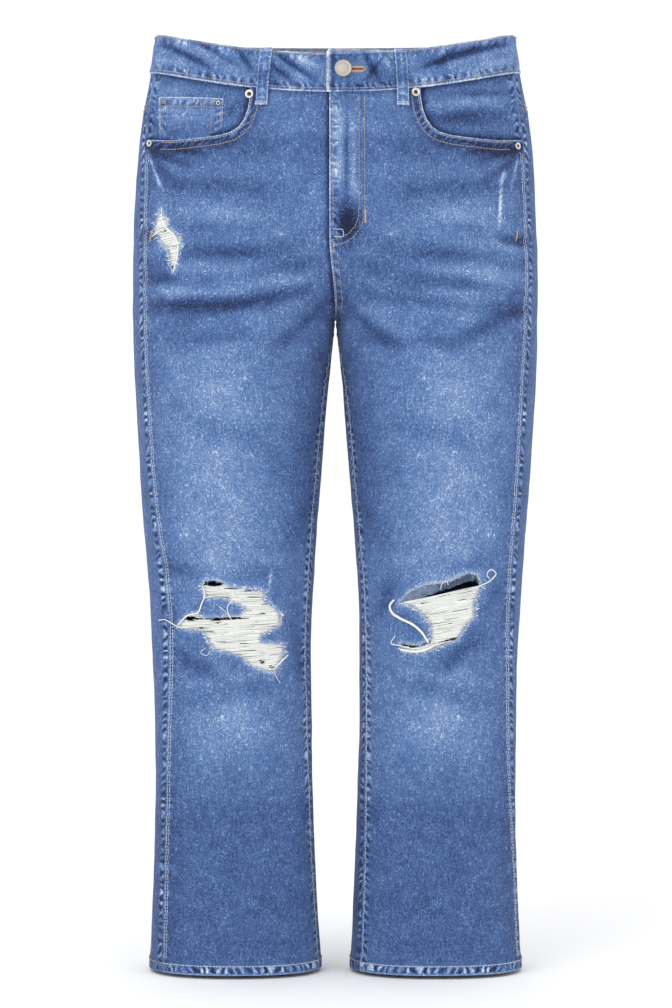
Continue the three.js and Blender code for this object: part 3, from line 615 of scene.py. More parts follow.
def front_wear_and_shading(key):
    side, form = SIDES[key], FRONT_FORMS[key]

    def wear_and_shading(points, u, level):
        x = points[:, 0]
        girth = form.girth_at(level)
        from_side, from_centre = u * girth, (1 - u) * girth
        from_mouth = nearest(MOUTH_LINES[key], points[:, [0, 2]])
        crease = crease_field(points, FRONT_CREASES[key])
        # Wear pales the thighs and shins. Crease ridges are paler, partly rubbed by wear and partly painted
        # highlight.
        fade = leg_fade(x, level) + 0.2 * np.clip(crease, 0, 2)
        whisker = np.sin(level / 4.2 + np.abs(x) / 34 + 1.6 * rippled(points, 60, 8.0))
        fade += 0.17 * whisker * bell(level + 255, 52) * smooth((np.abs(x) - 14) / 30)
        fade += 1.1 * np.clip(crease_field(points, SCUFFS[key]), 0, 1) + 0.24 * smooth((HEM + 13 - level) / 4)
        # Painted shade along the inner leg and beside the side seam, where the leg turns away from the light,
        # and in the crease troughs.
        inner_leg = smooth((-285 - level) / 60) * smooth((level + 570) / 90)
        shade = 0.31 * smooth((75 - from_centre) / 65) * inner_leg
        shade += 0.18 * smooth((36 - from_side) / 36) + 0.27 * np.clip(-crease, 0, 2)
        # Darker below the knee, towards the hem.
        shade += 0.20 * smooth((-740 - level) / 70)
        # Painted shade under the pocket mouth's raised band, under the waistband, at the crotch, and beside
        # the mouth's band and stitching.
        shade += 0.2 * smooth((-100 - level) / 20) * bell(level + 122, 16)
        shade += 0.35 * bell(level - waist_top(form, u) + BAND_HEIGHT, 3.5)
        shade += 0.3 * bell(x, 13) * bell(level + 272, 26)
        shade += 0.25 * bell(from_mouth - 12, 3.5) + 0.45 * bell(from_mouth - 5.5, 3.2)
        below = smooth((CROTCH + 20 - level) / 25)
        fly_edge = (1 - below) if side > 0 else 0.0
        puckers = seam_lines(
            (from_side, level, 0.35, 0.5), (level - HEM, from_side, 1.3, 0.6),
            (from_mouth, x - level, 0.5, 1.0),
            (from_centre, level, 0.95 * below + fly_edge * 0.6, 0.55 * below + fly_edge * 0.9))
        raw = 0.0 * u
        for rip in RIPS[key]:
            away = nearest(divided(rip, 1.5), points[:, [0, 2]])
            raw = np.maximum(raw, 0.8 * np.exp(-(away / 2.4) ** 1.2))
        above = smooth((level + 300) / 20)
        if side > 0:
            fade += 0.55 * bell(x - 3, 7) * smooth((level + 185) / 40) * smooth((-74 - level) / 20)
            fade += 0.42 * bell(x - 18, 4) * smooth((level + 190) / 30) * smooth((-86 - level) / 20)
            # Painted shade in the groove between the fly's ridges and under the fly's lower curve.
            shade += 0.5 * bell(x - 11, 2) * bell(level + 140, 40)
            shade += 1.25 * bell(x - 13, 12) * bell(level + 202, 19)
            # Painted light: the left hip is painted paler, where the lamps light it less.
            fade += 0.2 * bell(x - 150, 42) * bell(level + 235, 60)
        else:
            # Painted shade beside the right front's centre, under the lap of the left front's fly.
            shade += 0.8 * bell(from_centre, 3.5) * above
        return {"fade": fade, "shade": shade, "raw": raw, **puckers}

    return wear_and_shading


def front_pattern(key):
    side, form = SIDES[key], FRONT_FORMS[key]
    width = form.width
    edge = on_pattern(form, for_side(side, MOUTH_EDGE))
    past_seam = edge[edge[:, 0] <= 0]
    edge = edge[edge[:, 0] > 0]
    seam_level = past_seam[0][1] if len(past_seam) else edge[-1][1] + 0.5
    u = np.linspace(edge[0][0] / width, 1, 40)
    top = np.column_stack([u * width, waist_top(form, u) - BAND_HEIGHT])
    centre = [(width, level) for level in (CROTCH + 1.5, CROTCH, CROTCH - 1, HEM)]
    outline = np.concatenate([[(0, seam_level)], edge[::-1][:-1], top, centre, [(0, HEM)]])
    return outline, [on_pattern(form, torn(rip, k + 2.5)) for k, rip in enumerate(RIPS[key])], 3.0


for key in SIDES:
    panel = make_cloth(f"front_panel_{key}", FRONT_FORMS[key], front_pattern(key), front_out(key), DENIM_WALL,
                       front_wear_and_shading(key), [f"front_{key}"], raw_holes=True)

# The upper edge of the left knee's tear has folded back under itself, so its pale reverse shows in the hole.
TORN_FLAP = [
    (62, -592), (74, -574), (90, -566), (108, -564), (121, -562), (134, -557), (145, -559), (143, -564),
    (134, -566), (121, -571), (108, -575), (94, -580), (82, -586)]


def flap_tone_and_shade(points, u, level):
    # Painted shade: the flap darkens towards its right end, deeper in the hole, over a random tone.
    return {"fade": 0.4 * rippled(points, 9, 3.0), "shade": np.clip(0.014 * (points[:, 0] - 62), 0, 0.75),
            "raw": 0.0}


def flap_out(points, u, level):
    return front_relief("left", points) - 1.6 + 0.4 * rippled(points, 8, 1.0)


left_form = FRONT_FORMS["left"]
flap = make_cloth("torn_flap_left", left_form, (on_pattern(left_form, torn(TORN_FLAP, 4.5)), [], 2.5),
                  flap_out, 0.7, flap_tone_and_shade)
flap.data.materials[0] = reverse_side

# ----------------------------------------------------------------------
# Back panels: one piece of the same denim a leg, from the yoke to the hem, sewn to the front down the side
# and the inseam. They are plain, with creases behind the knees and under the seat.
# ----------------------------------------------------------------------
YOKE_CENTRE, YOKE_SIDE = 72, 38
BACK_CREASES = [
    (188, -205, 120, -215, 6, -1.3), (192, -262, 130, -272, 6, -1.5), (185, -300, 60, -318, 7, -1.3),
    (150, -335, 40, -322, 7, -1.1), (60, -345, 12, -285, 6, -1.2), (160, -360, 60, -352, 9, 0.9),
    (170, -380, 70, -392, 8, -0.7), (178, -562, 70, -575, 6, -1.5), (175, -592, 50, -600, 6, -1.7),
    (170, -622, 60, -612, 6, -1.4), (160, -655, 60, -648, 7, -1.1), (170, -578, 60, -588, 5, 1.3),
    (165, -607, 70, -606, 5, 1.2), (150, -634, 60, -630, 5, 1.0), (60, -760, 140, -790, 16, -0.9),
    (185, -530, 110, -548, 6, -0.9)]


def yoke_seam(form, u):
    return waist_top(form, u) - BAND_HEIGHT - (YOKE_SIDE + (YOKE_CENTRE - YOKE_SIDE) * u)


def back_relief(key, points):
    side = SIDES[key]
    creases = [(side * x0, z0, side * x1, z1, *size) for x0, z0, x1, z1, *size in BACK_CREASES]
    height = crease_field(points, creases) * smooth(points[:, 1] / 25)
    return height, height + 1.0 * rippled(points, 75, side * 7.0) + 0.4 * rippled(points, 19, 4.0)


def back_out(key):
    form = BACK_FORMS[key]

    def out(points, u, level):
        girth = form.girth_at(level)
        height = back_relief(key, points)[1] * smooth(u * girth / 6)
        height += 0.6 * smooth((HEM + HEM_DEPTH + 1 - level) / 1.5)
        height += 1.3 * seam_pull(points, u * girth, level)
        height += 1.3 * seam_pull(points, (1 - u) * girth, level) * smooth((CROTCH + 60 - level) / 20)
        return height + seam_pull(points, level - HEM - HEM_DEPTH + 4, u * girth)

    return out


def back_wear_and_shade(key):
    form = BACK_FORMS[key]

    def wear_and_shading(points, u, level):
        x = points[:, 0]
        girth = form.girth_at(level)
        crease = back_relief(key, points)[0]
        fade = 0.6 * leg_fade(x, level) * smooth(points[:, 1] / 20)
        fade += 0.3 * bell(np.abs(x) - 100, 55) * bell(level + 215, 80) * smooth(points[:, 1] / 30)
        # Crease ridges are paler, partly rubbed by wear and partly painted highlight.
        fade += 0.28 * np.clip(crease, 0, 2)
        # Painted shade in the crease troughs; darker below the knee, towards the hem.
        shade = 0.36 * np.clip(-crease, 0, 2) + 0.18 * smooth((-740 - level) / 70)
        # An even painted shade over the whole back, and painted shade along the yoke seam.
        shade += 0.18 + 0.3 * bell(level - yoke_seam(form, u), 3.5)
        puckers = seam_lines(
            (u * girth, level, 1.25, 0.3), ((1 - u) * girth, level, 1.1, 0.4),
            (level - HEM, u * girth, 1.2, 0.5), (np.abs(level - yoke_seam(form, u)), x, 0.9, 0.5))
        return {"fade": fade, "shade": shade, "raw": 0.0, **puckers}

    return wear_and_shading


def band_of_cloth(form, low, high, steps=40, start=0.0):
    """The outline of a strip between two curves, each a level for u."""
    u = np.linspace(start, 1, steps)
    width = form.width
    bottom = np.column_stack([u * width, low(u)])
    return np.concatenate([bottom, np.column_stack([u * width, high(u)])[::-1]])


for key in SIDES:
    form = BACK_FORMS[key]
    width = form.width
    u = np.linspace(0, 1, 40)
    top = np.column_stack([u * width, yoke_seam(form, u)])
    centre = [(width, level) for level in (CROTCH + 1.5, CROTCH, CROTCH - 1, HEM)]
    outline = np.concatenate([top, centre, [(0, HEM)]])
    panel = make_cloth(f"back_panel_{key}", form, (outline, [], 4.0), back_out(key), DENIM_WALL,
                       back_wear_and_shade(key), [f"back_{key}"])
    yoke = make_cloth(f"back_yoke_{key}", form,
                      (band_of_cloth(form, lambda u: yoke_seam(form, u) + 0.1,
                                     lambda u: waist_top(form, u) - BAND_HEIGHT + 2), [], 3.5),
                      back_out(key), DENIM_WALL, back_wear_and_shade(key), [f"yoke_{key}"])

# ----------------------------------------------------------------------
# Pocket facings and the coin pocket: the denim that shows inside each pocket's mouth, and the small patch
# sewn to the right one, with a folded top edge.
# ----------------------------------------------------------------------
FACING_DEPTH = 2.8
FACING_EDGE = [(72, -62), (72, -96), (88, -125), (120, -135), (160, -135), (184, -133)]
COIN_POCKET = [(-182, -68), (-181, -112), (-150, -116), (-127, -112), (-115, -104), (-114, -74)]
COIN_FOLD = 9
FACING_CREASES = {
    "right": [
        (-190, -62, -150, -66, 6, 0.8), (-100, -78, -112, -92, 5, -1.0), (-196, -84, -186, -100, 4, -1.0)],
    "left": [(180, -68, 96, -84, 7, 1.2), (170, -88, 92, -96, 8, -1.2), (190, -64, 120, -70, 4, -1.1)],
}


def facing_out(key, depth):
    form = FRONT_FORMS[key]

    def out(points, u, level):
        at_seam = smooth(1 - u * form.girth_at(level) / 9) * smooth((level + 117) / 6)
        relief = front_relief(key, points) + crease_field(points, FACING_CREASES[key])
        return relief - depth * (1 - at_seam)

    return out


def facing_wear_and_shade(key, pale):
    form = FRONT_FORMS[key]

    def wear_and_shading(points, u, level):
        away = nearest(MOUTH_LINES[key], points[:, [0, 2]])
        crease = crease_field(points, FACING_CREASES[key])
        # Painted shadow just inside the pocket mouth's edge and under the waistband, and painted shade in the
        # crease troughs.
        shade = 0.75 * bell(away, 5) + 0.45 * bell(level - waist_top(form, u) + BAND_HEIGHT, 4)
        shade += 0.4 * np.clip(-crease, 0, 2)
        puckers = seam_lines((u * form.girth_at(level), level, 0.8, 0.4))
        # Crease ridges are paler: painted highlight, with some wear.
        return {"fade": pale + 0.3 * np.clip(crease, 0, 2), "shade": shade, "raw": 0.0, **puckers}

    return wear_and_shading


def coin_wear_and_shade(points, u, level):
    top = COIN_POCKET[0][1] + (points[:, 0] + 182) * (COIN_POCKET[-1][1] - COIN_POCKET[0][1]) / 68
    sides = np.minimum(np.abs(points[:, 0] + 182), np.abs(points[:, 0] + 114.5))
    # Painted shade along the pocket's lower part, by the mouth's edge, and a painted shadow under its folded
    # top edge.
    shade = 0.35 * bell(level + 108, 10) + 0.3 * bell(top - level - COIN_FOLD, 2.5)
    puckers = seam_lines((top - level, points[:, 0], 0.45, 0.8), (sides, level, 0.7, 0.6))
    return {"fade": 0.1 + 0.12 * bell(points[:, 0] + 150, 20), "shade": shade, "raw": 0.0, **puckers}


for key, side in SIDES.items():
    form = FRONT_FORMS[key]
    edge = on_pattern(form, for_side(side, FACING_EDGE))
    u = np.linspace(edge[0][0] / form.width, 0, 24)
    top = np.column_stack([u * form.width, waist_top(form, u) - BAND_HEIGHT + 2])
    outline = np.concatenate([edge[1:-1], [(0, -134)], top[::-1]])
    facing = make_cloth(f"pocket_facing_cloth_{key}", form, (outline, [], 3.0), facing_out(key, FACING_DEPTH),
                        DENIM_WALL, facing_wear_and_shade(key, -0.06 if side < 0 else -0.1), [f"pocket_facing_{key}"])
coin = make_cloth("coin_pocket_patch", FRONT_FORMS["right"],
                  (on_pattern(FRONT_FORMS["right"], COIN_POCKET), [], 2.2), facing_out("right", 1.6), 1.0,
                  coin_wear_and_shade, ["coin_pocket"])

# ----------------------------------------------------------------------
# Back pockets: five-sided denim patches on the seat, with a folded top and pressed edges, sewn all round.
# ----------------------------------------------------------------------
BACK_POCKET = [(34, -136), (162, -128), (157, -248), (100, -268), (42, -252)]
POCKET_FOLD = 20


def pocket_out(key):
    panel = back_out(key)
    loop = divided(for_side(SIDES[key], BACK_POCKET), 1.5)

    def out(points, u, level):
        away = nearest(loop, points[:, [0, 2]])
        full = 1.4 * smooth((away - 4) / 30) * smooth((-POCKET_FOLD - 128 - level) / 30)
        return panel(points, u, level) + 1.55 + 0.35 * bell(away, 3) + full

    return out


def pocket_wear(key):
    loop = divided(for_side(SIDES[key], BACK_POCKET), 1.5)

    def wear_and_shading(points, u, level):
        away = nearest(loop, points[:, [0, 2]])
        top = -136 + (np.abs(points[:, 0]) - 34) * 8 / 128
        puckers = seam_lines((away, points[:, 0] - level, 1.0, 0.8),
                             (np.abs(top - level - POCKET_FOLD), points[:, 0], 0.7, 0.2))
        return {"fade": 0.25 * bell(away - 45, 30), "shade": 0.1, "raw": 0.0, **puckers}

    return wear_and_shading


for key, side in SIDES.items():
    form = BACK_FORMS[key]
    pocket = make_cloth(f"back_pocket_patch_{key}", form,
                        (on_pattern(form, for_side(side, BACK_POCKET)), [], 3.2), pocket_out(key),
                        DENIM_WALL, pocket_wear(key), [f"back_pocket_{key}"])

# ----------------------------------------------------------------------
# Waistband: two layers of denim with interlining, 40 mm high. The left front ends in the button tab, with a
# corded keyhole, and laps over the right front. The back runs in one piece between the side seams.
# ----------------------------------------------------------------------
BAND_PROUD = 0.7
BAND_WALL = 2.6
TAB_EDGE, TAB_START, TAB_LIFT, TAB_RAISE, TAB_ROUND = 9, 40, 0.6, 4.2, 3.5
UNDERLAP_END, UNDERLAP_DEPTH, UNDERLAP_WALL = 30, 2.5, 2.2
BUTTON_X, BUTTON_LEVEL = 8, -46
BUTTONHOLE_EYE, BUTTONHOLE_END, BUTTONHOLE_SLOT = 3.1, 29, 0.9
BAND_CREASES = {
    "right": [
        (-180, -12, -126, -42, 3.2, -2.2), (-172, -6, -120, -30, 3.5, 1.2), (-150, -10, -100, -40, 3.0, -1.4),
        (-104, -18, -84, -46, 3.0, -1.5), (-66, -25, -20, -57, 3.0, -2.2), (-70, -38, -40, -60, 3.0, -1.4),
        (-58, -22, -14, -46, 3.2, 1.3), (-186, -28, -160, -36, 3.0, 1.0)],
    "left": [
        (178, -12, 112, -34, 3.2, -2.2), (150, -18, 86, -44, 3.0, -1.9), (166, -6, 100, -26, 3.5, 1.3),
        (128, -13, 104, -42, 3.0, -1.4), (26, -24, 44, -56, 3.2, -1.5), (42, -26, 60, -50, 3.0, 1.1),
        (186, -28, 150, -40, 3.0, 1.0), (50, -30, 30, -60, 3.0, -1.2)],
    "back": [
        (150, -4, 110, -30, 3.5, -1.6), (-150, -6, -112, -32, 3.5, -1.7), (60, -2, 30, -30, 3.5, -1.4),
        (-66, -3, -34, -28, 3.5, -1.4), (80, -26, 120, -10, 3.5, 1.0), (-84, -26, -124, -8, 3.5, 1.0)],
}
BAND_LOWEST = -110
tab_form = Form(1, "front", -TAB_EDGE, BAND_LOWEST)
right_form = Form(-1, "front", TAB_EDGE + 1, BAND_LOWEST)
underlap_form = Form(-1, "front", -UNDERLAP_END, BAND_LOWEST)
back_form = Form(-1, "back", None, BAND_LOWEST)
left_half = Form(1, "back", None, BAND_LOWEST)
back_form.points = np.concatenate([back_form.points, left_half.points[:, -2::-1]], axis=1)
back_form.shares = np.linspace(0, 1, back_form.points.shape[1])
back_form.girth = 2 * back_form.girth
back_form.find_normals(-1)
back_form.width = 470


def band_out(creases, form, lift=lambda points: 0.0):
    def out(points, u, level):
        top = waist_top(form, u)
        height = BAND_PROUD + lift(points) + crease_field(points, creases)
        height += 0.5 * rippled(points, 30, 6.0) + 0.5 * rippled(points, 11, 2.0)
        edge = np.minimum(top - level, level - top + BAND_HEIGHT)
        height += 0.45 * bell(edge - 5, 3) * np.sin(points[:, 0] * 0.75 + 2 * rippled(points, 20, 3.0))
        return height - 0.7 * bell(edge, 1.0) + 0.4 * bell(edge - 1.8, 1.3)

    return out


def band_wear_and_shade(creases, form, tab=False):
    def wear_and_shading(points, u, level):
        top = waist_top(form, u)
        crease = crease_field(points, creases)
        bottom = level - top + BAND_HEIGHT
        # An even paler wash with random tone, and crease ridges paler, partly painted highlight.
        fade = 0.13 + 0.34 * np.clip(crease, 0, 2) + 0.3 * rippled(points, 24, 8.0)
        # Painted shade in the crease troughs, along the top edge and in the groove of the row near the bottom
        # edge.
        shade = 0.42 * np.clip(-crease, 0, 2) + 0.15 * bell(top - level, 2) + 0.12 * bell(bottom - 4, 2.5)
        puckers = seam_lines((top - level, points[:, 0], 0.35, 0.8), (bottom, points[:, 0], 0.75, 0.95))
        raw = 0.0 * u
        if tab:
            # The tab's end is rubbed pale, the tab is darker near its end, and painted shade lies in the
            # groove beside its end's stitch row.
            raw += 0.6 * smooth((-4.2 - points[:, 0]) / 2)
            fade -= 0.22 * bell(points[:, 0] - 30, 30)
            shade += 0.5 * bell(points[:, 0] + 2, 2)
        return {"fade": fade, "shade": shade, "raw": raw, **puckers}

    return wear_and_shading


def keyhole():
    """The buttonhole's outline: a round eye with a slot."""
    turns = np.radians(20 + 32 * np.arange(11))
    eye = [(BUTTON_X + BUTTONHOLE_EYE * math.cos(t), BUTTON_LEVEL + BUTTONHOLE_EYE * math.sin(t))
           for t in turns]
    return eye + [(BUTTONHOLE_END, BUTTON_LEVEL + way * BUTTONHOLE_SLOT) for way in (-1, 1)]


def tab_raise(u):
    return TAB_RAISE * smooth((u - 0.6) / 0.33)


def tab_lift(points):
    return TAB_LIFT * (1 - smooth((points[:, 0] + TAB_EDGE) / (TAB_START + TAB_EDGE)))


def band_bottom(form):
    return lambda u: waist_top(form, u) - BAND_HEIGHT


def tab_top(u):
    """The tab's top edge, with its corner rounded off."""
    return waist_top(tab_form, u) + tab_raise(u) - TAB_ROUND * smooth((u - 0.982) / 0.018) ** 2


def plain_band(form, steps=40, start=0.0):
    return band_of_cloth(form, band_bottom(form), lambda u: waist_top(form, u), steps, start)


# Each piece of the band: its form, outline and holes, how far out it stands, its wear and painted shade, its
# wall, the node that it replaces, its flat size in metres and its flat area in square metres.
band_pieces = [
    ("waistband_front_left", tab_form, band_of_cloth(tab_form, band_bottom(tab_form), tab_top, 90),
     [on_pattern(tab_form, keyhole())], band_out(BAND_CREASES["left"], tab_form, tab_lift),
     band_wear_and_shade(BAND_CREASES["left"], tab_form, True), BAND_WALL, ["band_front_left"], (0.215, 0.085), 0.0089),
    ("waistband_front_right", right_form, plain_band(right_form), [],
     band_out(BAND_CREASES["right"], right_form), band_wear_and_shade(BAND_CREASES["right"], right_form), BAND_WALL,
     ["band_front_right"], (0.2, 0.08), 0.008),
    ("waistband_underlap", underlap_form, plain_band(underlap_form, start=0.84), [],
     lambda points, u, level: -UNDERLAP_DEPTH, band_wear_and_shade([], underlap_form), UNDERLAP_WALL, [],
     (0.042, 0.08), 0.00165),
    ("waistband_back", back_form, plain_band(back_form, 90), [], band_out(BAND_CREASES["back"], back_form),
     band_wear_and_shade(BAND_CREASES["back"], back_form), BAND_WALL, ["band_back"], (0.55, 0.08), 0.022),
]
for name, form, outline, holes, out, wear_and_shading, wall, replaced, flat, area in band_pieces:
    band = make_cloth(name, form, (outline, holes, 2.0), out, wall, wear_and_shading, replaced)

# ----------------------------------------------------------------------
# Belt loops: strips of denim folded in three, 12 mm wide, that stand off the waistband in a shallow arch and
# are tacked above and below it.
# ----------------------------------------------------------------------
LOOP_WIDTH, LOOP_WALL, LOOP_ARCH, LOOP_LENGTH = 12, 1.8, 4.8, 58.5
LOOP_STEPS = [
    (0, 1.3), (6, 1.3), (9, 3.4), (14, LOOP_ARCH), (27, LOOP_ARCH + 0.4), (38, LOOP_ARCH), (46, 3.4),
    (51, 0.9), (LOOP_LENGTH, 0.9)]
# Each loop's place across the waist, its top's level, whether it is at the back, and how far it leans.
LOOPS = {
    "front_right": (-69.5, -24, False, -5.3), "front_left": (65.5, -24.5, False, 3.2),
    "back_right": (-98, -0.5, True, 0), "back_left": (98, -0.5, True, 0), "back_centre": (0, 0.7, True, 0)}


def torso_at(x, level, behind=False):
    """A point on the smooth torso straight in front of or behind a place, with its outward normal."""
    def point(x, level):
        depth = station(BACK, level) if behind else -station(FRONT, level)
        share = (1 - (abs(x) / station(HALF, level)) ** ROUNDNESS) ** (1 / ROUNDNESS)
        return np.array([x, depth * share, level])

    normal = np.cross(point(x + 1, level) - point(x - 1, level), point(x, level + 1) - point(x, level - 1))
    return point(x, level), (-normal if behind else normal) / np.linalg.norm(normal)


def swept(name, sections, materials):
    """A tube through rings of points, all with the same count, closed at both ends."""
    sections = np.asarray(sections, float)
    rows, around = sections.shape[:2]
    faces = []
    for i in range(rows - 1):
        for j in range(around):
            k = (j + 1) % around
            faces.append((i * around + j, i * around + k, (i + 1) * around + k, (i + 1) * around + j))
    faces += [tuple(range(around))[::-1], tuple(range((rows - 1) * around, rows * around))]
    mesh = bpy.data.meshes.new(name)
    mesh.from_pydata((sections.reshape(-1, 3) * MM).tolist(), [], faces)
    mesh.polygons.foreach_set("use_smooth", np.ones(len(faces), bool))
    for material in materials:
        mesh.materials.append(material)
    return mesh


for name, (x, top, behind, lean) in LOOPS.items():
    downs, outs = np.array(LOOP_STEPS).T
    run = np.linspace(0, LOOP_LENGTH, 37)
    lift = np.interp(run, downs, outs)
    lift = np.convolve(np.pad(lift, 2, mode="edge"), np.ones(5) / 5, mode="valid")
    sections, tints = [], []
    corner_turns = np.linspace(0, 2 * math.pi, 28, endpoint=False)
    for down, height in zip(run, lift):
        place, normal = torso_at(x + lean * down / LOOP_LENGTH, top - down, behind)
        across = np.array([1.0, 0, 0]) - normal * normal[0]
        across /= np.linalg.norm(across)
        middle = place + normal * (height + LOOP_WALL / 2)
        width = LOOP_WIDTH / 2 + 0.15 * math.sin(down * 0.9)
        ring = []
        for turn in corner_turns:
            c, s = math.cos(turn), math.sin(turn)
            a = np.sign(c) * abs(c) ** 0.35 * width
            b = np.sign(s) * abs(s) ** 0.6 * LOOP_WALL / 2 * (1 - 0.12 * bell(abs(a) - 3.4, 1.0))
            ring.append(middle + across * a + normal * b)
            tints.append((a, down))
        sections.append(ring)
    mesh = swept(name, sections, (stone_washed,))
    a, down = np.array(tints).T
    # A paler wash all over, painted shade in the grooves of the folded strip, and darker across its middle;
    # its edges and lower end are rubbed pale.
    values = {"fade": 0.3 + 0.0 * a, "shade": 0.3 * bell(down - 30, 8) + 0.35 * bell(np.abs(a) - 3.5, 1.0),
              "raw": 0.55 * smooth((np.abs(a) - 5.2) / 0.7), "seam": 6 - np.abs(a), "run": down,
              "edge": 0.25 + 0.0 * a}
    values["raw"] = np.maximum(values["raw"], 0.6 * bell(down - LOOP_LENGTH, 1.4))
    for key, value in values.items():
        mesh.attributes.new(key, "FLOAT", "POINT").data.foreach_set("value", value.astype(np.float32))
    corners = np.empty(len(mesh.loops), int)
    mesh.loops.foreach_get("vertex_index", corners)
    uv = np.column_stack([a + x, down]) * MM
    mesh.uv_layers.new(name="cut").data.foreach_set("uv", uv[corners].ravel())
    loop = finish_piece(f"belt_loop_{name}", mesh, "denim", [f"loop_{name}"])

# ----------------------------------------------------------------------
# Fly: the denim shield behind the opening, a closed brass zip sewn to it on cotton tape, and its slider.
# ----------------------------------------------------------------------
ZIP_DEPTH = 5.6
ZIP_X, ZIP_TOP, ZIP_BOTTOM = 12, -80, -204
SHIELD = [(-5, -76), (31, -76), (31, -195), (20, -209), (-5, -212)]
TOOTH_PITCH = 1.9


def plain_wear(points, u, level):
    return {"fade": 0.0, "shade": 0.2, "raw": 0.0}


shield = make_cloth("fly_shield_cloth", left_form, (on_pattern(left_form, SHIELD), [], 4.0),
                    lambda points, u, level: -ZIP_DEPTH - 1.8, DENIM_WALL, plain_wear, ["fly_shield"])

# Cotton twill tape, navy and matt, with a fine rib across it.
zip_tape, tree, shader = new_material("cotton_zip_tape")
rib = add_node(tree, "ShaderNodeTexWave", {"Scale": 320.0, "Distortion": 1.0}, bands_direction="Z")
ramp = add_node(tree, "ShaderNodeValToRGB", {"Fac": rib.outputs["Fac"]})
set_stops(ramp, [(0.0, "#1b2440"), (1.0, "#2c385c")])
tree.links.new(ramp.outputs["Color"], shader.inputs["Base Color"])
shader.inputs["Roughness"].default_value = 0.9


def toned_material(name, scale, detail, stops, rough):
    """A material whose tone wanders between its stops, in patches of about 1 / scale metres."""
    material, tree, shader = new_material(name)
    tone = add_node(tree, "ShaderNodeTexNoise", {"Scale": scale, "Detail": detail})
    ramp = add_node(tree, "ShaderNodeValToRGB", {"Fac": tone.outputs["Fac"]})
    set_stops(ramp, stops)
    tree.links.new(ramp.outputs["Color"], shader.inputs["Base Color"])
    shader.inputs["Roughness"].default_value = rough
    return material, tree, shader


# Brass, pressed and left bare, which goes dull and brown in its hollows.
zip_brass, tree, shader = toned_material("bare_brass", 500.0, 3.0, [(0.3, "#8a6a38"), (0.7, "#c9a766")], 0.38)
shader.inputs["Metallic"].default_value = 1.0

tape_outline = [(-1, ZIP_TOP), (25, ZIP_TOP), (25, ZIP_BOTTOM), (-1, ZIP_BOTTOM)]
tape = make_cloth("zip_tape", left_form, (on_pattern(left_form, tape_outline), [], 4.0),
                  lambda points, u, level: -ZIP_DEPTH - 0.9, 0.6, plain_wear, ["zip"])
tape.data.materials.clear()
for _ in CLOTH_MATERIALS:
    tape.data.materials.append(zip_tape)
verts, faces = [], []
TOOTH_CORNERS = ((-0.9, -0.5), (0.9, -0.5), (0.9, 0.5), (-0.9, 0.5))
TOOTH = np.array([(a, b, c) for c in (-0.5, 0.5) for a, b in TOOTH_CORNERS])
TOOTH_FACES = [(0, 3, 2, 1), (4, 5, 6, 7), (0, 1, 5, 4), (1, 2, 6, 5), (2, 3, 7, 6), (3, 0, 4, 7)]
for k, level in enumerate(np.arange(ZIP_BOTTOM + 3, ZIP_TOP - 14, TOOTH_PITCH / 2)):
    place, normal = torso_at(ZIP_X + (0.55 if k % 2 else -0.55), level)
    middle = place - normal * (ZIP_DEPTH + 0.35)
    faces += [[i + len(verts) for i in face] for face in TOOTH_FACES]
    taper = np.where(TOOTH[:, 2:3] > 0, 0.8, 1.0)
    verts += (middle + TOOTH * taper * [1.15, 0, 0] + np.outer(TOOTH[:, 1], [0, 0, 0.62]) +
              np.outer(TOOTH[:, 2], normal) * 1.3).tolist()
mesh = bpy.data.meshes.new("zip_teeth")
mesh.from_pydata((np.array(verts) * MM).tolist(), [], faces)
mesh.materials.append(zip_brass)
finish_piece("zip_teeth", mesh, "zip_metal")
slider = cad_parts["zip_slider"]
slider.data.materials.clear()
slider.data.materials.append(zip_brass)

# ----------------------------------------------------------------------
# Weft threads: where the warp has worn away, the undyed cotton threads that run across the cloth are left,
# side by side, with loose ends, and the torn edges fray into short hairs.
# ----------------------------------------------------------------------
WEFT_PITCH, WEFT_RADIUS = 1.12, 0.56
# For each rip: its outline, the slope of its threads at its top and bottom, and the ovals that are bare of
# them, each a middle and its half width and height.
WEFTS = {
    "knee_right": ("right", KNEE_RIP_RIGHT, (-0.03, 0.09), [
        (-124, -565.5, 14, 5.5), (-106, -572.8, 9, 1.0), (-116, -603.4, 25, 1.7), (-147, -604, 8, 2.4),
        (-85, -575, 8, 1.0),
        (-83, -581.5, 7, 0.8), (-71, -589, 5, 0.8), (-74, -648, 3.6, 2.4), (-65, -653, 2.6, 1.6),
        (-129, -617, 6, 0.8)]),
    "knee_left": ("left", [
        (67, -588), (147, -570.5), (149, -572), (142, -586), (142, -602), (132, -612), (126, -622),
        (108, -627), (98, -628), (99, -609), (91, -600), (79, -592)], (0.22, 0.12), []),
    "lip_left": ("left", [
        (66, -632), (82, -634), (92, -631), (103, -627), (108, -629), (106, -634), (90, -639), (72, -638)],
        (0.05, 0.12), []),
    "hip_right": ("right", HIP_RIP_RIGHT, (0.25, 0.12), [(-175.5, -207.6, 2.4, 0.9)]),
}
# Undyed cotton yarn, soft-spun and matt: cream with a slight grey from wear.
cotton_weft, tree, shader = toned_material(
    "undyed_cotton_weft", 260.0, 3.0, [(0.25, "#cfd2cf"), (0.45, "#e9ebe7"), (0.7, "#fafaf7")], 0.92)
fuzz = add_node(tree, "ShaderNodeTexNoise", {"Scale": 2400.0, "Detail": 2.0})
bump = add_node(tree, "ShaderNodeBump", {"Height": fuzz.outputs["Fac"], "Strength": 0.5, "Distance": 0.0003})
tree.links.new(bump.outputs["Normal"], shader.inputs["Normal"])
shader.inputs["Specular IOR Level"].default_value = 0.2


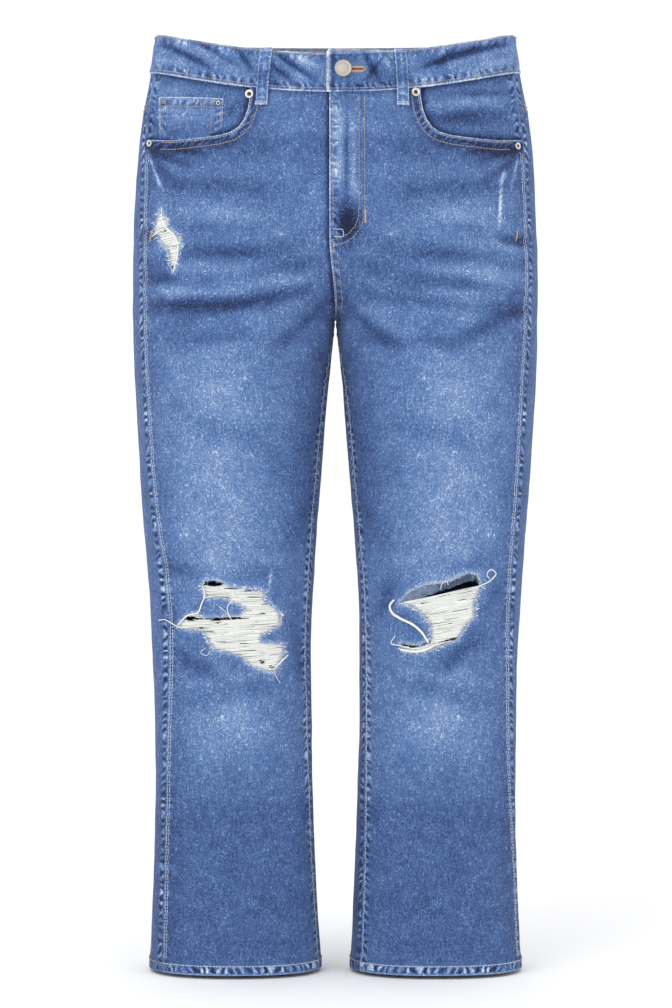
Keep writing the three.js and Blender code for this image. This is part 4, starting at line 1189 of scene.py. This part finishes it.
class Threads:
    """Many thin threads gathered into one mesh."""

    def __init__(self):
        self.verts, self.faces, self.count = [], [], 0

    def add(self, path, radii, sides):
        """A tube along a path. radii is one number or one for each point."""
        path = np.asarray(path, float)
        radii = np.broadcast_to(radii, len(path))
        along = np.gradient(path, axis=0)
        along /= np.linalg.norm(along, axis=1, keepdims=True)
        side = np.cross(along, [0.13, 0.31, 0.94] if abs(along[:, 2]).mean() < 0.8 else [0.3, 0.9, 0.1])
        side /= np.linalg.norm(side, axis=1, keepdims=True)
        other = np.cross(along, side)
        turns = np.arange(sides) * 2 * math.pi / sides
        rings = (path[:, None] + radii[:, None, None] * (
            side[:, None] * np.cos(turns)[None, :, None] + other[:, None] * np.sin(turns)[None, :, None]))
        i, j = np.meshgrid(np.arange(len(path) - 1), np.arange(sides), indexing="ij")
        i, j = i.ravel() * sides, j.ravel()
        k = (j + 1) % sides
        quads = np.column_stack([i + j, i + k, i + sides + k, i + sides + j]) + self.count
        last = self.count + (len(path) - 1) * sides
        self.faces += quads.tolist() + [list(range(self.count, self.count + sides))[::-1]]
        self.faces += [list(range(last, last + sides))]
        self.verts.append(rings.reshape(-1, 3))
        self.count += len(path) * sides

    def make(self, name, material, slot, replaced=()):
        mesh = bpy.data.meshes.new(name)
        mesh.from_pydata((np.concatenate(self.verts) * MM).tolist(), [], self.faces)
        mesh.polygons.foreach_set("use_smooth", np.ones(len(self.faces), bool))
        mesh.materials.append(material)
        return finish_piece(name, mesh, slot, replaced)


def on_front(key, places, lift):
    """Points above or below the front panel's outer face, for places seen from the front."""
    form = FRONT_FORMS[key]
    places = np.asarray(places, float)
    u = np.array([form.u_at(x, level) for x, level in places])
    points, normals = form.lay(u, places[:, 1])
    relief = front_relief(key, points) + np.asarray(lift)
    return points + normals * relief[:, None]


def weft_rows(loop, slopes, bare, limit, rng):
    """The runs of thread across a rip, each as places seen from the front. The lower the limit, the more of
    them have parted."""
    loop = np.array(loop, float)
    low, high = loop.min(axis=0), loop.max(axis=0)
    middle = (low[0] + high[0]) / 2
    reach = (high[0] - low[0]) / 2 * max(slopes)
    rows = np.arange(high[1] + reach, low[1] - reach, -WEFT_PITCH)
    for level in rows:
        t = np.clip((high[1] - level) / (high[1] - low[1]), 0, 1)
        slope = slopes[0] + (slopes[1] - slopes[0]) * t + rng.uniform(-0.006, 0.006)
        x = np.arange(low[0] - 2, high[0] + 2, 0.8)
        sag = 0.35 * np.sin(x / 14 + rng.uniform(0, 6))
        z = level + slope * (x - middle) + sag + rng.uniform(-0.2, 0.2)
        hit = inside(loop, np.column_stack([x, z]))
        for at_x, at_z, half_width, half_height in bare:
            hit &= ((x - at_x) / half_width) ** 2 + ((z - at_z) / half_height) ** 2 > 1
        parted = [noise.noise(Vector((a / 21, level / 1.3, 3.0))) for a in x]
        hit &= np.array(parted) < limit
        edges = np.flatnonzero(np.diff(np.concatenate([[0], hit.astype(int), [0]])))
        for start, end in zip(edges[::2], edges[1::2]):
            if end - start > 3:
                keep = slice(max(0, start - 2), min(len(x), end + 2))
                yield np.column_stack([x[keep], z[keep]])


def loose_thread(threads, key, places, radius, lifts):
    """A loose thread along a smooth curve through places seen from the front."""
    places, lifts = np.asarray(places, float), np.asarray(lifts, float)
    run = np.concatenate([[0], np.cumsum(np.linalg.norm(np.diff(places, axis=0), axis=1))])
    fine = np.linspace(0, run[-1], max(12, int(run[-1] / 1.3)))
    full = np.column_stack([places, lifts])
    slopes = np.gradient(full, run, axis=0)
    i = np.clip(np.searchsorted(run, fine, side="right") - 1, 0, len(run) - 2)
    span = (run[i + 1] - run[i])[:, None]
    t = ((fine - run[i]) / (run[i + 1] - run[i]))[:, None]
    path = ((1 + 2 * t) * (1 - t) ** 2 * full[i] + t * (1 - t) ** 2 * span * slopes[i]
            + t * t * (3 - 2 * t) * full[i + 1] + t * t * (t - 1) * span * slopes[i + 1])
    taper = radius * (0.45 + 0.55 * np.sin(math.pi * np.linspace(0.06, 0.94, len(path))) ** 0.4)
    threads.add(on_front(key, path[:, :2], path[:, 2]), taper, 8)


rng = random.Random(7)
for rip, (key, loop, slopes, bare) in WEFTS.items():
    threads = Threads()
    for depth, pitch_shift, limit in ((-0.75, 0.0, 0.24), (-1.45, WEFT_PITCH / 2, 0.52)):
        shifted = [(x, level + pitch_shift) for x, level in loop]
        for places in weft_rows(shifted, slopes, bare, limit, rng):
            along = np.linspace(0, 1, len(places))
            lift = depth - 0.9 * (bell(along, 0.06) + bell(along - 1, 0.06)) + rng.uniform(-0.15, 0.15)
            keep = slice(None, None, 2) if len(places) > 8 else slice(None)
            radius = WEFT_RADIUS * rng.uniform(0.82, 1.1)
            threads.add(on_front(key, places, lift)[keep], radius, 5)
            for end, way in ((places[0], -1), (places[-1], 1)):
                if rng.random() < 0.3:
                    reach = (way * rng.uniform(0.6, 4.4), rng.uniform(-2.6, 2.2))
                    tip = end + np.outer(np.linspace(0, 1, 4), reach)
                    threads.add(on_front(key, tip, np.linspace(0.1, 0.9, 4)), [0.4, 0.36, 0.3, 0.16], 4)
    node = f"weft_{rip}"
    threads.make(f"weft_threads_{rip}", cotton_weft, "weft", [node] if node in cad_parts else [])

# Loose threads: which front, the places that it runs through, how far it stands off the cloth, its radius.
LOOSE = [
    ("left", [(61, -584), (57, -590), (59, -597), (67, -603), (79, -609), (88, -617), (95, -628)],
     [2.6, 2.8, 2.6, 2.4, 2.4, 2.0, 0.4], 1.3),
    ("left", [(62, -621), (58, -629), (66, -631), (80, -634), (92, -634), (106, -629), (118, -626)],
     [2.0, 2.2, 1.2, 1.0, 0.8, 0.8, 0.5], 0.55),
    ("left", [(66, -635), (78, -637), (90, -636), (101, -631)], [0.8, 1.3, 1.2, 0.6], 1.2),
    ("left", [(66, -588), (80, -586), (110, -579), (148, -569.5), (158, -564), (163, -557), (158, -553),
              (154, -558), (157, -563)], [0.6, 0.2, 0.1, 1.2, 1.8, 2.4, 2.4, 1.8, 1.0], 0.6),
    ("left", [(107, -573), (109, -567), (113, -565), (115, -569)], [1.2, 1.6, 1.6, 1.0], 0.4),
    ("right", [(-183, -606), (-176, -605), (-170, -607), (-161, -612), (-140, -611), (-110, -608)],
     [1.4, 1.6, 1.6, 0.6, 0.3, 0.2], 0.55),
    ("right", [
        (-135, -570), (-133, -579), (-136, -588), (-140, -597), (-150, -600), (-156, -605), (-161, -611)],
     [0.8, 1.2, 1.3, 1.2, 1.0, 0.9, 0.6], 0.75),
    ("right", [(-134, -582), (-122, -580), (-110, -579), (-96, -577)], [1.0, 1.0, 0.8, 0.2], 0.5),
    ("right", [(-104, -583), (-110, -592), (-108, -600), (-105, -606)], [1.4, 1.8, 1.6, 0.8], 0.42),
    ("right", [(-119, -590), (-112, -596), (-106, -604)], [1.4, 1.7, 1.0], 0.3),
    ("right", [(-49, -641), (-56, -648), (-64, -656)], [1.4, 1.2, 0.4], 0.7),
    ("right", [(-63, -657), (-61, -663), (-57, -670)], [0.8, 1.6, 1.8], 0.3),
    ("right", [(-132, -633), (-137, -638), (-131, -641), (-127, -636)], [1.0, 1.8, 1.6, 1.0], 0.28),
    ("right", [(-187, -213), (-181, -208), (-174, -205)], [1.4, 1.0, 0.4], 0.6),
    ("right", [(-176, -184), (-177, -195), (-172, -205), (-162, -216), (-160, -230), (-165, -252)],
     [0.6, 0.3, 0.3, 0.2, 0.2, 0.6], 0.7),
]
threads = Threads()
for key, places, lifts, radius in LOOSE:
    loose_thread(threads, key, places, radius, lifts)
threads.make("loose_threads", cotton_weft, "weft")

# Cut warp ends: blue outside and white within, thinner than the weft. Drawn 0.3 mm wide so that they show.
warp_fray = toned_material(
    "frayed_warp_ends", 420.0, 2.0, [(0.35, "#7f9bc8"), (0.5, "#bccbe2"), (0.65, "#eceff0")], 0.95)[0]
FRAY_STEP = 0.75
threads = Threads()
for key, rips in RIPS.items():
    for rip in rips:
        line = divided(np.array(rip, float), FRAY_STEP)
        small = rip is HIP_RIP_RIGHT
        outward = np.roll(line, -2, axis=0) - np.roll(line, 2, axis=0)
        outward = np.column_stack([outward[:, 1], -outward[:, 0]])
        outward /= np.linalg.norm(outward, axis=1, keepdims=True)
        if inside(rip, line[:1] + outward[:1] * 1.5)[0]:
            outward = -outward
        for spot, away in zip(line, outward):
            turn = rng.gauss(0, 0.7)
            way = -away if rng.random() < 0.45 else away
            way = np.array([way[0] * math.cos(turn) - way[1] * math.sin(turn),
                            way[0] * math.sin(turn) + way[1] * math.cos(turn)])
            length = rng.uniform(1.5, 4.2) * (0.75 if small else 1.0) * (1.3 if rng.random() < 0.12 else 1.0)
            bend = rng.uniform(-0.5, 0.5)
            t = np.linspace(0, 1, 5)[:, None]
            side = np.array([-way[1], way[0]])
            places = spot - way * 0.8 + way * t * length + side * bend * length * t * t
            lift = 0.15 + np.linspace(0, rng.uniform(0.2, 1.4), 5)
            threads.add(on_front(key, places, lift), 0.19 * np.linspace(1.0, 0.5, 5), 3)
threads.make("frayed_edges", warp_fray, "weft")

# ----------------------------------------------------------------------
# Topstitching: thick polyester-cotton thread, tan where it is decorative and off-white along the legs, in
# stitches 3.4 mm from hole to hole. Each stitch bulges out of the cloth and dips back into it.
# ----------------------------------------------------------------------
STITCH_PITCH, STITCH_LENGTH, STITCH_RADIUS = 3.4, 2.75, 0.4


def thread_material(name, dark, middle, pale):
    """Twisted thread: three shades along its plies, with a slight silk gloss."""
    return toned_material(name, 900.0, 2.0, [(0.3, dark), (0.5, middle), (0.7, pale)], 0.6)[0]


tan_thread = thread_material("tan_topstitch_thread", "#7d7068", "#a9988a", "#cbbca9")
pale_thread = thread_material("off_white_topstitch_thread", "#9fadc4", "#ccd4df", "#e9ebec")
copper_thread = thread_material("copper_bar_tack_thread", "#a37a5a", "#cba37e", "#e6d0b8")


def stitch_along(bulk, points, normals, pitch=STITCH_PITCH, length=STITCH_LENGTH, radius=STITCH_RADIUS):
    """Adds a row of stitches to a bulk of them."""
    run = np.concatenate([[0], np.cumsum(np.linalg.norm(np.diff(points, axis=0), axis=1))])
    starts = np.arange(0.3, run[-1] - length, pitch)
    if len(starts) == 0:
        return
    stops = starts[:, None] + length * np.array([0, 0.16, 0.5, 0.84, 1.0])
    at = np.stack([np.interp(stops, run, points[:, k]) for k in range(3)], axis=-1)
    out = np.stack([np.interp(stops, run, normals[:, k]) for k in range(3)], axis=-1)
    out /= np.linalg.norm(out, axis=-1, keepdims=True)
    lift = radius * np.array([-0.9, 0.45, 0.85, 0.45, -0.9])
    middles = at + out * lift[None, :, None]
    along = at[:, -1:] - at[:, :1]
    along = along / np.linalg.norm(along, axis=-1, keepdims=True)
    side = np.cross(out, np.broadcast_to(along, out.shape))
    side /= np.linalg.norm(side, axis=-1, keepdims=True)
    turns = np.arange(5) * 2 * math.pi / 5
    rings = middles[:, :, None] + radius * (
        side[:, :, None] * np.cos(turns)[None, None, :, None] * 1.1
        + out[:, :, None] * np.sin(turns)[None, None, :, None] * 0.8)
    first = sum(len(part) for part in bulk["verts"])
    bulk["verts"].append(rings.reshape(-1, 3))
    rows, around = 5, 5
    one = []
    for i in range(rows - 1):
        for j in range(around):
            k = (j + 1) % around
            one.append((i * around + j, i * around + k, (i + 1) * around + k, (i + 1) * around + j))
    one = np.array(one)
    base = first + np.arange(len(starts))[:, None, None] * rows * around
    bulk["quads"].append((one[None] + base).reshape(-1, 4))
    ends = np.array([[4, 3, 2, 1, 0], [20, 21, 22, 23, 24]])
    bulk["ends"].append((ends[None] + base).reshape(-1, 5))


def sew(name, material, rows):
    """Makes one piece of all the stitch rows that are given, each as points, normals and options."""
    bulk = {"verts": [], "quads": [], "ends": []}
    for points, normals, options in rows:
        stitch_along(bulk, points, normals, **options)
    mesh = bpy.data.meshes.new(name)
    faces = np.concatenate(bulk["quads"]).tolist() + np.concatenate(bulk["ends"]).tolist()
    mesh.from_pydata((np.concatenate(bulk["verts"]) * MM).tolist(), [], faces)
    mesh.polygons.foreach_set("use_smooth", np.ones(len(faces), bool))
    mesh.materials.append(material)
    return finish_piece(name, mesh, "weft")


def seam_row(cloth, form, inset, low, high, from_centre=False, **options):
    """A row beside a side seam, or beside a centre seam or inseam."""
    level = np.linspace(low, high, int((high - low) / 1.5))
    u = inset / form.girth_at(level)
    return (*SURFACES[cloth](1 - u if from_centre else u, level), options)


def curve_row(cloth, form, below_top, start=0.002, end=0.998, top=waist_top, **options):
    """A row that follows the waistband's curve or the yoke's, this far below it."""
    u = np.linspace(start, end, 300)
    return (*SURFACES[cloth](u, top(form, u) - below_top), options)


def outline_row(cloth, form, places, **options):
    """A row through places seen from the front or back, rounded at its corners."""
    line = divided(np.array(places, float), 1.0, closed=False)
    padded = np.pad(line, ((2, 2), (0, 0)), mode="edge")
    line = np.column_stack([np.convolve(padded[:, k], np.ones(5) / 5, mode="valid") for k in (0, 1)])
    u = np.array([form.u_at(x, level) for x, level in line])
    return (*SURFACES[cloth](u, line[:, 1]), options)


def offset_line(line, distance):
    """A line moved sideways, seen from the front."""
    line = np.array(line, float)
    along = np.gradient(line, axis=0)
    along /= np.linalg.norm(along, axis=1, keepdims=True)
    return line + np.column_stack([-along[:, 1], along[:, 0]]) * distance


leg_rows, tan_rows, back_rows = [], [], []
for key, side in SIDES.items():
    front, back = f"front_panel_{key}", f"back_panel_{key}"
    front_form, panel_form = FRONT_FORMS[key], BACK_FORMS[key]
    leg_rows += [seam_row(front, front_form, inset, HEM + 14, -124, radius=0.34) for inset in (1.8, 4.6)]
    leg_rows.append(seam_row(front, front_form, 2.2, HEM + 14, CROTCH - 8, True, radius=0.34))
    for cloth, form, rows in ((front, front_form, leg_rows), (back, panel_form, back_rows)):
        u = np.linspace(0.004, 0.996, 240)
        rows.append((*SURFACES[cloth](u, np.full(240, HEM + HEM_DEPTH - 1.8)), {}))
    mouth = np.array(for_side(side, MOUTH_EDGE), float)[1:]
    mouth = np.vstack([mouth[:1] + [0, 9], mouth])
    fine = divided(mouth[:-1], 2.0, closed=False)
    for inset in (2.4, 9.2):
        line = offset_line(fine, -inset * side)
        line = line[np.abs(line[:, 0]) < 190 - (4 if side < 0 else 0)]
        tan_rows.append(outline_row(front, front_form, line, radius=0.36))
    for inset in (1.8, 6.6):
        back_rows.append(curve_row(f"back_yoke_{key}", panel_form, -inset, top=yoke_seam))
        back_rows.append(seam_row(back, panel_form, inset, CROTCH + 14, -118, True))
    for inset in (2.0, 8.0):
        loop = np.array(for_side(side, BACK_POCKET), float)
        middle = loop.mean(axis=0)
        shrunk = middle + (loop - middle) * (1 - inset / 64)
        back_rows.append(outline_row(f"back_pocket_patch_{key}", panel_form, np.roll(shrunk, -1, axis=0)))
    fold = np.array(for_side(side, [(37, -154), (159, -146.5)]), float)
    back_rows.append(outline_row(f"back_pocket_patch_{key}", panel_form, fold))

# The band has a row near each edge, and one more down the tab's end.
for name, form in (("waistband_front_left", tab_form), ("waistband_front_right", right_form),
                   ("waistband_back", back_form)):
    ends = (0.004, 0.99 if form is tab_form else 0.998)
    rows = back_rows if form is back_form else tan_rows
    rows.append(curve_row(name, form, BAND_HEIGHT - 3.4, *ends, radius=0.36))
    if form is tab_form:
        rows.append(curve_row(name, form, 2.2, *ends, radius=0.36,
                              top=lambda form, u: waist_top(form, u) + tab_raise(u)))
        level = np.linspace(BUTTON_LEVEL - 20, BUTTON_LEVEL + 16, 30)
        rows.append((*SURFACES[name](np.full(30, form.u_at(-6.2, -50)), level), {}))
    else:
        rows.append(curve_row(name, form, 2.2, *ends, radius=0.36))

left_panel = "front_panel_left"
FLY_CURVE = [(29.5, -72), (29.5, -185), (29, -198), (25, -209), (17, -218), (7, -223.5), (-4, -226)]
fly_line = divided(np.array(FLY_CURVE, float), 2.0, closed=False)
for inset in (0.0, 5.6):
    tan_rows.append(outline_row(left_panel, left_form, offset_line(fly_line, -inset), radius=0.36))
tan_rows.append(seam_row(left_panel, left_form, 3.6, -206, -72, True, radius=0.34))
tan_rows.append(seam_row(left_panel, left_form, 1.8, CROTCH + 6, -230, True, radius=0.34))
tan_rows.append(seam_row(left_panel, left_form, 7.4, CROTCH + 6, -230, True, radius=0.34))
for line in ([(-180, -71), (-117, -76.5)], [(-180, -78), (-117, -83.5)],
             [(-181, -72), (-179.5, -110)], [(-116.5, -77), (-117, -104)], [(-126.5, -84), (-127, -108)]):
    tan_rows.append(outline_row(
        "coin_pocket_patch", FRONT_FORMS["right"], line, radius=0.34, length=2.5, pitch=3.1))
sew("leg_topstitching", pale_thread, leg_rows)
sew("tan_topstitching", tan_thread, tan_rows)
sew("back_topstitching", tan_thread, back_rows)


def satin(places_from, places_to, count, cloth, form, radius=0.36):
    """Close parallel threads that fill a strip between two ends, as a bar tack does."""
    rows = []
    for t in np.linspace(0, 1, count):
        start = np.array(places_from[0]) * (1 - t) + np.array(places_from[1]) * t
        end = np.array(places_to[0]) * (1 - t) + np.array(places_to[1]) * t
        line = start + (end - start) * np.linspace(0, 1, 8)[:, None]
        u = np.array([form.u_at(x, level) for x, level in line])
        points, normals = SURFACES[cloth](u, line[:, 1])
        run = np.linalg.norm(points[-1] - points[0])
        rows.append((points, normals, {"pitch": run * 2, "length": run - 0.4, "radius": radius}))
    return rows


tacks = satin(((29.2, -190), (29.2, -203)), ((31.2, -190), (31.2, -203)), 22, left_panel, left_form)
tacks += satin(((-3, -227), (-3, -224)), ((-0.6, -227), (-0.6, -224)), 5, left_panel, left_form)
for key, x in (("right", -190.5), ("left", 187.5)):
    side = SIDES[key]
    tacks += satin(((x, -207), (x, -217)), ((x - 1.8 * side, -207), (x - 1.8 * side, -217)), 13,
                   f"front_panel_{key}", FRONT_FORMS[key], 0.34)
sew("bar_tacks", copper_thread, tacks)
coin_tack = satin(((-178, -71.5), (-175, -71.2)), ((-178, -76), (-175, -75.8)), 5, "coin_pocket_patch",
                  FRONT_FORMS["right"], 0.32)
sew("coin_pocket_tack", tan_thread, coin_tack)
box_line = [(-3.5, -209.5), (7.5, -209.5), (8.5, -217), (-3.5, -217)]
pale_tacks = [outline_row(left_panel, left_form, box_line, pitch=2.2, length=2.1)]
for name, (x, top, behind, lean) in LOOPS.items():
    for down in (1.6, 3.4, LOOP_LENGTH - 3.2, LOOP_LENGTH - 1.4):
        reach = 6.9 if down > LOOP_LENGTH - 5 else 5.2
        spots = np.linspace(-reach, reach, 24)
        height = np.interp(down, *np.array(LOOP_STEPS).T) + LOOP_WALL
        rows = [torso_at(x + lean * down / LOOP_LENGTH + a, top - down, behind) for a in spots]
        points = np.array([place + normal * height for place, normal in rows])
        pale_tacks.append((points, np.array([normal for _, normal in rows]), {"pitch": 1.15, "length": 1.1}))
sew("loop_tacks", pale_thread, pale_tacks)

# The buttonhole's edge: close copper-coloured stitches round the eye and along the slot.
hole = divided(np.array(keyhole()), 0.5)
outward = np.roll(hole, -1, axis=0) - np.roll(hole, 1, axis=0)
outward = np.column_stack([outward[:, 1], -outward[:, 0]]) / np.linalg.norm(outward, axis=1, keepdims=True)
threads = Threads()
for spot, away in zip(hole, outward):
    reach = np.linspace(-0.3, 2.3, 6)
    line = spot + np.outer(reach, away)
    u = np.array([tab_form.u_at(x, level) for x, level in line])
    points, normals = SURFACES["waistband_front_left"](u, line[:, 1])
    lift = 0.45 * np.sin(math.pi * np.linspace(0.0, 1.0, 6)) - 0.15
    threads.add(points + normals * lift[:, None], 0.24, 4)
threads.make("buttonhole_stitches", copper_thread, "weft")

# ----------------------------------------------------------------------
# Rivets and button: pressed nickel-plated brass, tumbled to a soft matt. A rivet is a cap with a nipple in a
# dished ring; the button is a plain disc with a rolled rim on a shank through the keyhole.
# ----------------------------------------------------------------------


def worn_metal(name, dark, middle, pale, low, high):
    """Plated metal, rubbed by washing: uneven in tone and gloss, with fine scratches."""
    material, tree, shader = new_material(name)
    tarnish = add_node(tree, "ShaderNodeTexNoise", {"Scale": 350.0, "Detail": 4.0, "Roughness": 0.6})
    ramp = add_node(tree, "ShaderNodeValToRGB", {"Fac": tarnish.outputs["Fac"]})
    set_stops(ramp, [(0.3, dark), (0.5, middle), (0.7, pale)])
    scratches = add_node(tree, "ShaderNodeTexNoise", {"Scale": 1600.0, "Detail": 3.0})
    bump = add_node(tree, "ShaderNodeBump", {
        "Height": scratches.outputs["Fac"], "Strength": 0.25, "Distance": 0.0002})
    gloss = add_node(tree, "ShaderNodeMapRange", {
        "Value": tarnish.outputs["Fac"], "To Min": low, "To Max": high})
    tree.links.new(ramp.outputs["Color"], shader.inputs["Base Color"])
    tree.links.new(gloss.outputs["Result"], shader.inputs["Roughness"])
    tree.links.new(bump.outputs["Normal"], shader.inputs["Normal"])
    shader.inputs["Metallic"].default_value = 1.0
    return material


# Nickel plate, tumbled dull and a little yellow, on the button, and brighter on the rivets.
nickel = worn_metal("tumbled_nickel_plate", "#98928a", "#bdb8ae", "#d0ccc2", 0.36, 0.56)
bright_nickel = worn_metal("bright_nickel_plate", "#b9b7b0", "#dedcd6", "#f0efea", 0.24, 0.42)
# The nipple's plate has worn through to dark copper.
copper_nipple = worn_metal("worn_copper_nipple", "#3a2a20", "#5f4632", "#7f644a", 0.4, 0.6)


def turned(name, profile, place, normal, distance, materials, slot, replaced, dark_inside=0.0):
    """A round metal part turned from its profile, set on the cloth. A profile is radius and height, and the
    part within dark_inside takes the second material."""
    normal = normal / np.linalg.norm(normal)
    across = np.cross(normal, [0, 0, 1.0])
    across /= np.linalg.norm(across)
    other = np.cross(normal, across)
    turns = np.arange(48) * 2 * math.pi / 48
    sections = [place + normal * (distance + height)
                + radius * (np.outer(np.cos(turns), across) + np.outer(np.sin(turns), other))
                for radius, height in profile]
    mesh = swept(name, sections, materials)
    radii = np.array([radius for radius, _ in profile])
    inner = np.repeat(np.maximum(radii[1:], radii[:-1]) < dark_inside, 48)
    mesh.polygons.foreach_set("material_index", np.concatenate([inner, [False, dark_inside > 0]]).astype(int))
    return finish_piece(name, mesh, slot, replaced)


def rounded_profile(points):
    """A profile with its corners rounded by a curve through the middles of its edges."""
    points = np.array(points, float)
    found = [points[0]]
    for before, corner, after in zip(points[:-2], points[1:-1], points[2:]):
        start, end = (before + corner) / 2, (corner + after) / 2
        for t in np.linspace(0, 1, 5):
            found.append(start * (1 - t) ** 2 + 2 * corner * t * (1 - t) + end * t * t)
    return [tuple(p) for p in found + [points[-1]]]


# Each rivet's place and level, its radius, and how far it stands off the cloth.
RIVETS = {
    "front_right": (-87, -71, 4.5, 0.9), "side_right": (-190, -116, 3.7, 1.1),
    "front_left": (81.5, -69, 4.5, 0.9), "side_left": (187, -119, 3.7, 1.1), "coin": (-119, -79, 2.2, -0.5)}
for name, (x, level, radius, distance) in RIVETS.items():
    profile = rounded_profile([
        (radius * 0.9, -0.8), (radius, 0), (radius, 0.7), (radius * 0.86, 1.5), (radius * 0.52, 1.1),
        (radius * 0.4, 0.5), (radius * 0.34, 0.5), (radius * 0.28, 1.3), (radius * 0.12, 1.5), (0.02, 1.5)])
    key = "left" if x > 0 else "right"
    place = on_front(key, [(x, level)], [0.0])[0]
    turned(f"rivet_cap_{name}", profile, place, torso_at(x, level)[1], distance,
           (bright_nickel, copper_nipple), "rivet_metal", [f"rivet_{name}"], radius * 0.42)
BUTTON_RADIUS = 8.8
profile = rounded_profile([
    (2.2, -4.4), (2.2, -0.4), (BUTTON_RADIUS - 1.5, -0.3), (BUTTON_RADIUS, 0.4), (BUTTON_RADIUS, 1.8),
    (BUTTON_RADIUS - 0.7, 2.6), (BUTTON_RADIUS - 1.6, 2.3), (BUTTON_RADIUS - 2.6, 2.1), (4, 2.5),
    (0.02, 2.7)])
place, normal = torso_at(BUTTON_X, BUTTON_LEVEL)
turned("shank_button", profile, place, normal, BAND_PROUD + TAB_LIFT + 1.4, (nickel,),
       "button_metal", ["button"])

# ----------------------------------------------------------------------
# Camera, light and floor: a level lens at half height, as tall as the garment needs; a white room with two
# wide soft lamps; and a pale floor just under the hems.
# ----------------------------------------------------------------------
DISTANCE = 2.8
VIEW_HEIGHT = 1.05
LAMP_SIZE = 1.8
camera = bpy.data.objects.new("camera", bpy.data.cameras.new("camera"))
camera.data.sensor_width = 36
camera.data.lens = camera.data.sensor_width * DISTANCE / VIEW_HEIGHT
camera.data.clip_end = 60
camera.location = (0.0007, -DISTANCE, -0.4865)
camera.rotation_euler = (math.pi / 2, 0, 0)
bpy.context.scene.collection.objects.link(camera)
bpy.context.scene.camera = camera

world = bpy.data.worlds.new("white_room")
world.use_nodes = True
background = world.node_tree.nodes["Background"]
background.inputs["Color"].default_value = to_linear("#ffffff")
background.inputs["Strength"].default_value = 1.05
bpy.context.scene.world = world
bpy.context.scene.view_settings.view_transform = "Standard"
for name, place, power in (("key_lamp", (-1.6, -2.2, 1.4), 25), ("fill_lamp", (1.9, -1.8, 0.4), 5)):
    lamp = bpy.data.objects.new(name, bpy.data.lights.new(name, "AREA"))
    lamp.data.size = LAMP_SIZE
    lamp.data.energy = power
    lamp.location = place
    lamp.rotation_euler = (Vector((0, 0, -0.45)) - lamp.location).to_track_quat("-Z", "Y").to_euler()
    bpy.context.scene.collection.objects.link(lamp)

# White matt paint, with a faint unevenness.
floor_material = toned_material("white_painted_floor", 3.0, 2.0, [(0.0, "#fdfdfd"), (1.0, "#ffffff")], 0.9)[0]
floor_level = (HEM - 4) * MM
ring = [(30 * math.cos(k * math.pi / 24), 30 * math.sin(k * math.pi / 24), floor_level) for k in range(48)]
floor_mesh = bpy.data.meshes.new("floor")
floor_mesh.from_pydata(ring, [], [list(range(48))])
floor_mesh.materials.append(floor_material)
floor = bpy.data.objects.new("floor", floor_mesh)
bpy.context.scene.collection.objects.link(floor)
